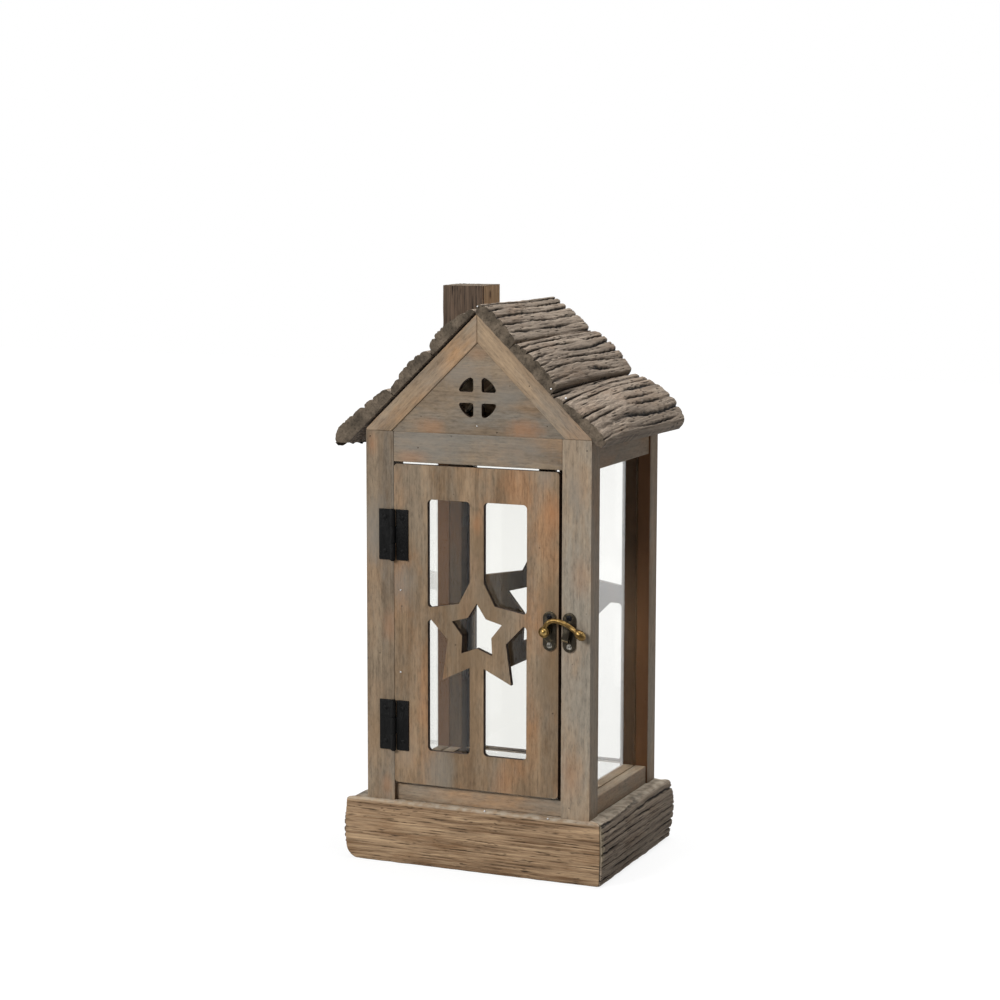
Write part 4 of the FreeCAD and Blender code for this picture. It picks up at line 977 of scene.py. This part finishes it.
def knot(tree, shade):
    """One dark knot on the right side, fading out towards its edge."""
    spot = object_spot(tree)
    offset = vector_maths(tree, "SUBTRACT", spot, (high[0], low[1] + 0.012, CHIMNEY_TOP - 0.007))[0]
    squeezed = vector_maths(tree, "MULTIPLY", offset, (1, 1, 0.5))[0]
    away = maths(tree, "MULTIPLY", vector_maths(tree, "LENGTH", squeezed)["Value"], 400.0)
    return mix(tree, ramp(tree, away, (0.35, 0.85), (0.8, 0.0)), shade, colour(70, 50, 36))


chimney_dark = weathered_wood("chimney_dark", GRAIN_UP, DARK_BLOCK, 0.4, 1.0, 0.0004)
chimney_pale = weathered_wood("chimney_pale", GRAIN_UP, PALE_BLOCK, 0.3, 0.6, 0.0003, extra=knot)
dress(chimney, "chimney", chimney_dark, chimney_pale, cut_end)
second_finish(chimney, lambda normal: normal.x > 0.8)
chimney.data.polygons[-1].material_index = 2


# Splinters along the chimney's sawn top, beads of glue and nail dots: small cones and drops
# set on points by a node tree, with a seed for their sizes and their lean.
def scatter_tree(name, cone):
    tree = bpy.data.node_groups.new(name, "GeometryNodeTree")
    tree.is_modifier = True
    for socket, kind, way in (("Geometry", "NodeSocketGeometry", "INPUT"), ("Size", FLOAT, "INPUT"),
                              ("Tallness", FLOAT, "INPUT"), ("Lean", FLOAT, "INPUT"),
                              ("Seed", "NodeSocketInt", "INPUT"), ("Finish", "NodeSocketMaterial", "INPUT"),
                              ("Geometry", "NodeSocketGeometry", "OUTPUT")):
        tree.interface.new_socket(socket, in_out=way, socket_type=kind)
    given = tree.nodes.new("NodeGroupInput").outputs
    points = put(tree, "GeometryNodeMeshToPoints", {"Mesh": given["Geometry"]}).outputs[0]
    if cone:
        form = put(tree, "GeometryNodeMeshCone", {"Vertices": 5, "Radius Top": 0.08, "Radius Bottom": 1.0,
                                                   "Depth": 6.0}).outputs["Mesh"]
    else:
        form = put(tree, "GeometryNodeMeshIcoSphere", {"Radius": 1.0, "Subdivisions": 2}).outputs["Mesh"]
    leaning = put(tree, "FunctionNodeRandomValue", {"Seed": given["Seed"]}, data_type="FLOAT_VECTOR")
    leaning.inputs["Min"].default_value = (-1, -1, -3)
    leaning.inputs["Max"].default_value = (1, 1, 3)
    lean = {0: leaning.outputs[0], "Scale": given["Lean"]}
    turn = put(tree, "ShaderNodeVectorMath", lean, operation="SCALE").outputs[0]
    sizes = put(tree, "FunctionNodeRandomValue", {"Seed": given["Seed"]}, data_type="FLOAT")
    sizes.inputs[2].default_value = 0.55
    sizes.inputs[3].default_value = 1.15
    wide = maths(tree, "MULTIPLY", sizes.outputs[1], given["Size"])
    tall = maths(tree, "MULTIPLY", wide, given["Tallness"])
    scale = put(tree, "ShaderNodeCombineXYZ", {0: wide, 1: wide, 2: tall}).outputs[0]
    copies = put(tree, "GeometryNodeInstanceOnPoints", {"Points": points, "Instance": form, "Rotation": turn,
                                                        "Scale": scale}).outputs[0]
    real = put(tree, "GeometryNodeRealizeInstances", {0: copies}).outputs[0]
    done = put(tree, "GeometryNodeSetMaterial", {"Geometry": real, "Material": given["Finish"]}).outputs[0]
    put(tree, "NodeGroupOutput", {0: done})
    return tree


def scattered(name, tree, points, finish, **sizes):
    mesh = bpy.data.meshes.new(name)
    mesh.from_pydata(points, [], [])
    piece = linked(name, mesh)
    modifier = piece.modifiers.new("scatter", "NODES")
    modifier.node_group = tree
    sockets = {item.name: item.identifier for item in tree.interface.items_tree if item.in_out == "INPUT"}
    for socket, value in sizes.items():
        modifier[sockets[socket]] = value
    modifier[sockets["Finish"]] = finish
    return as_mesh(piece)


splinter_tree = scatter_tree("splinter_tree", True)
SPLINTERS = 9
edge_points = [(high[0] - 0.0015 - 0.0135 * step / SPLINTERS, low[1] + 0.0012, CHIMNEY_TOP - 0.0006)
               for step in range(SPLINTERS)]
edge_points += [(high[0] - 0.0012, low[1] + 0.002 + 0.004 * step, CHIMNEY_TOP - 0.0006)
                for step in range(4)]
splinters = scattered("chimney_splinters", splinter_tree, edge_points, chimney_pale,
                      Size=0.00016, Tallness=1.1, Lean=0.14, Seed=4)
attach(splinters, "house")

glue, tree = blank_material("glue")
spot = object_spot(tree)
cloudy = speckle(tree, spot, 900.0)
drop = put(tree, "ShaderNodeBsdfPrincipled", {
    "Base Color": ramp(tree, cloudy, (0.3, 0.7), (0.7, 0.9)), "Roughness": 0.25, "Coat Weight": 0.4})
show(tree, drop.outputs[0])
glue_places = [(0.0016, -0.0678, 0.3988), (0.0565, -0.0682, 0.3442), (0.0665, -0.0660, 0.3380),
               (-0.0001, -0.0643, 0.3161), (-0.0585, -0.0652, 0.1974), (-0.0587, -0.0652, 0.1385),
               (0.0080, -0.0690, 0.0452), (0.0560, -0.0694, 0.0451)]
bead_tree = scatter_tree("bead_tree", False)
glue_beads = scattered("glue_beads", bead_tree, glue_places, glue,
                       Size=0.00075, Tallness=0.9, Lean=0.3, Seed=2)
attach(glue_beads, "house")
nail_places = [(0.0243, -0.0638, 0.3447), (0.0391, -0.0647, 0.3452), (0.0817, -0.0650, 0.3027),
               (-0.0821, -0.0650, 0.3056), (-0.0430, -0.0638, 0.3210), (0.0520, -0.0638, 0.3180),
               (-0.0449, -0.0650, 0.2990), (0.0700, -0.0650, 0.0530)]
panel_pins = scattered("panel_pins", bead_tree, nail_places, burnt_and_gap_shade,
                       Size=0.0005, Tallness=1.0, Lean=0.0, Seed=5)
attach(panel_pins, "house")


# ---------------------------------------------------------------- hinges
# Black enamelled butt hinges on the face of post and door, with their nails painted over.
def metal(name, base, bright, metallic, rough, relief, wear, gloss=0.5):
    """Metal with a mottled plating, rubbed through where the noise is high."""
    material, tree = blank_material(name)
    spot = object_spot(tree)
    mottled = speckle(tree, spot, 420.0, 5.0)
    fine = speckle(tree, spot, 2200.0, 3.0)
    rubbed = ramp(tree, mottled, (1 - wear, 0.0), (1 - wear + 0.22, 1.0))
    bump = put(tree, "ShaderNodeBump", {"Height": maths(tree, "ADD", mottled, fine), "Distance": relief})
    shader = put(tree, "ShaderNodeBsdfPrincipled", {
        "Base Color": mix(tree, rubbed, colour(*base), colour(*bright)), "Metallic": metallic,
        "Roughness": maths(tree, "MULTIPLY_ADD", fine, 0.25, rough), "Normal": bump.outputs[0],
        "Specular IOR Level": gloss})
    show(tree, shader.outputs[0])
    return material


black_enamel = metal("black_enamel", (9, 9, 9), (24, 24, 23), 0.0, 0.4, 0.0003, 0.42, 0.16)
for level in ("lower", "upper"):
    for part in ("frame_leaf", "door_leaf"):
        node = f"hinge_{level}_{part}"
        dress(eased(node, f"{level}_hinge_{part}", 0.00025, 2, 35), node, black_enamel)
    dress(eased(f"hinge_{level}_pin", f"{level}_hinge_pin_rod", 0, 1, 35), f"hinge_{level}_pin", black_enamel)
for side in ("frame", "door"):
    node = f"hinge_nails_{side}"
    dress(eased(node, f"{side}_nails", 0, 1, 35), node, black_enamel)

# ---------------------------------------------------------------- latch
# A small box latch: dark bronze plates, a brass arm worn bright on top, and plated screws,
# the lower ones bright and the upper ones dark with dirt.
bronze = metal("bronze", (66, 60, 50), (120, 108, 84), 0.85, 0.26, 0.0001, 0.45)
bronze_rim = metal("bronze_rim", (122, 108, 82), (190, 176, 142), 0.95, 0.22, 0.00006, 0.6)
brass = metal("brass", (112, 88, 50), (176, 148, 92), 0.95, 0.22, 0.0001, 0.5)
domed_brass = metal("domed_brass", (150, 122, 70), (214, 184, 120), 0.95, 0.2, 0.00004, 0.6)
screw_steel = metal("screw_steel", (132, 128, 120), (222, 218, 208), 0.9, 0.24, 0.00006, 0.5)
screw_dark = metal("screw_dark", (26, 26, 30), (66, 66, 72), 0.7, 0.3, 0.00006, 0.35)
PLATE_EASE = 0.00025
LATCH_HEIGHT = (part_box("latch_rivet")[0][2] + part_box("latch_rivet")[1][2]) / 2
for node, name, finish in (("latch_door_plate", "door_side_plate", bronze),
                           ("latch_catch", "post_side_plate", bronze),
                           ("latch_rivet", "arm_rivet", domed_brass), ("latch_arm", "swing_arm", brass),
                           ("latch_screws_door", "door_side_screws", screw_steel),
                           ("latch_screws_catch", "post_side_screws", screw_steel)):
    width = PLATE_EASE if "plate" in name else 0
    fitting = eased(node, name, width, 2, 35)
    if "plate" in name:
        dress(fitting, node, finish, bronze_rim)
        second_finish(fitting, lambda normal: 0.25 < -normal.y < 0.9)
    elif "screws" in name:
        dress(fitting, node, finish, screw_dark)
        for face in fitting.data.polygons:
            face.material_index = 1 if face.center.z > LATCH_HEIGHT else 0
    else:
        dress(fitting, node, finish)
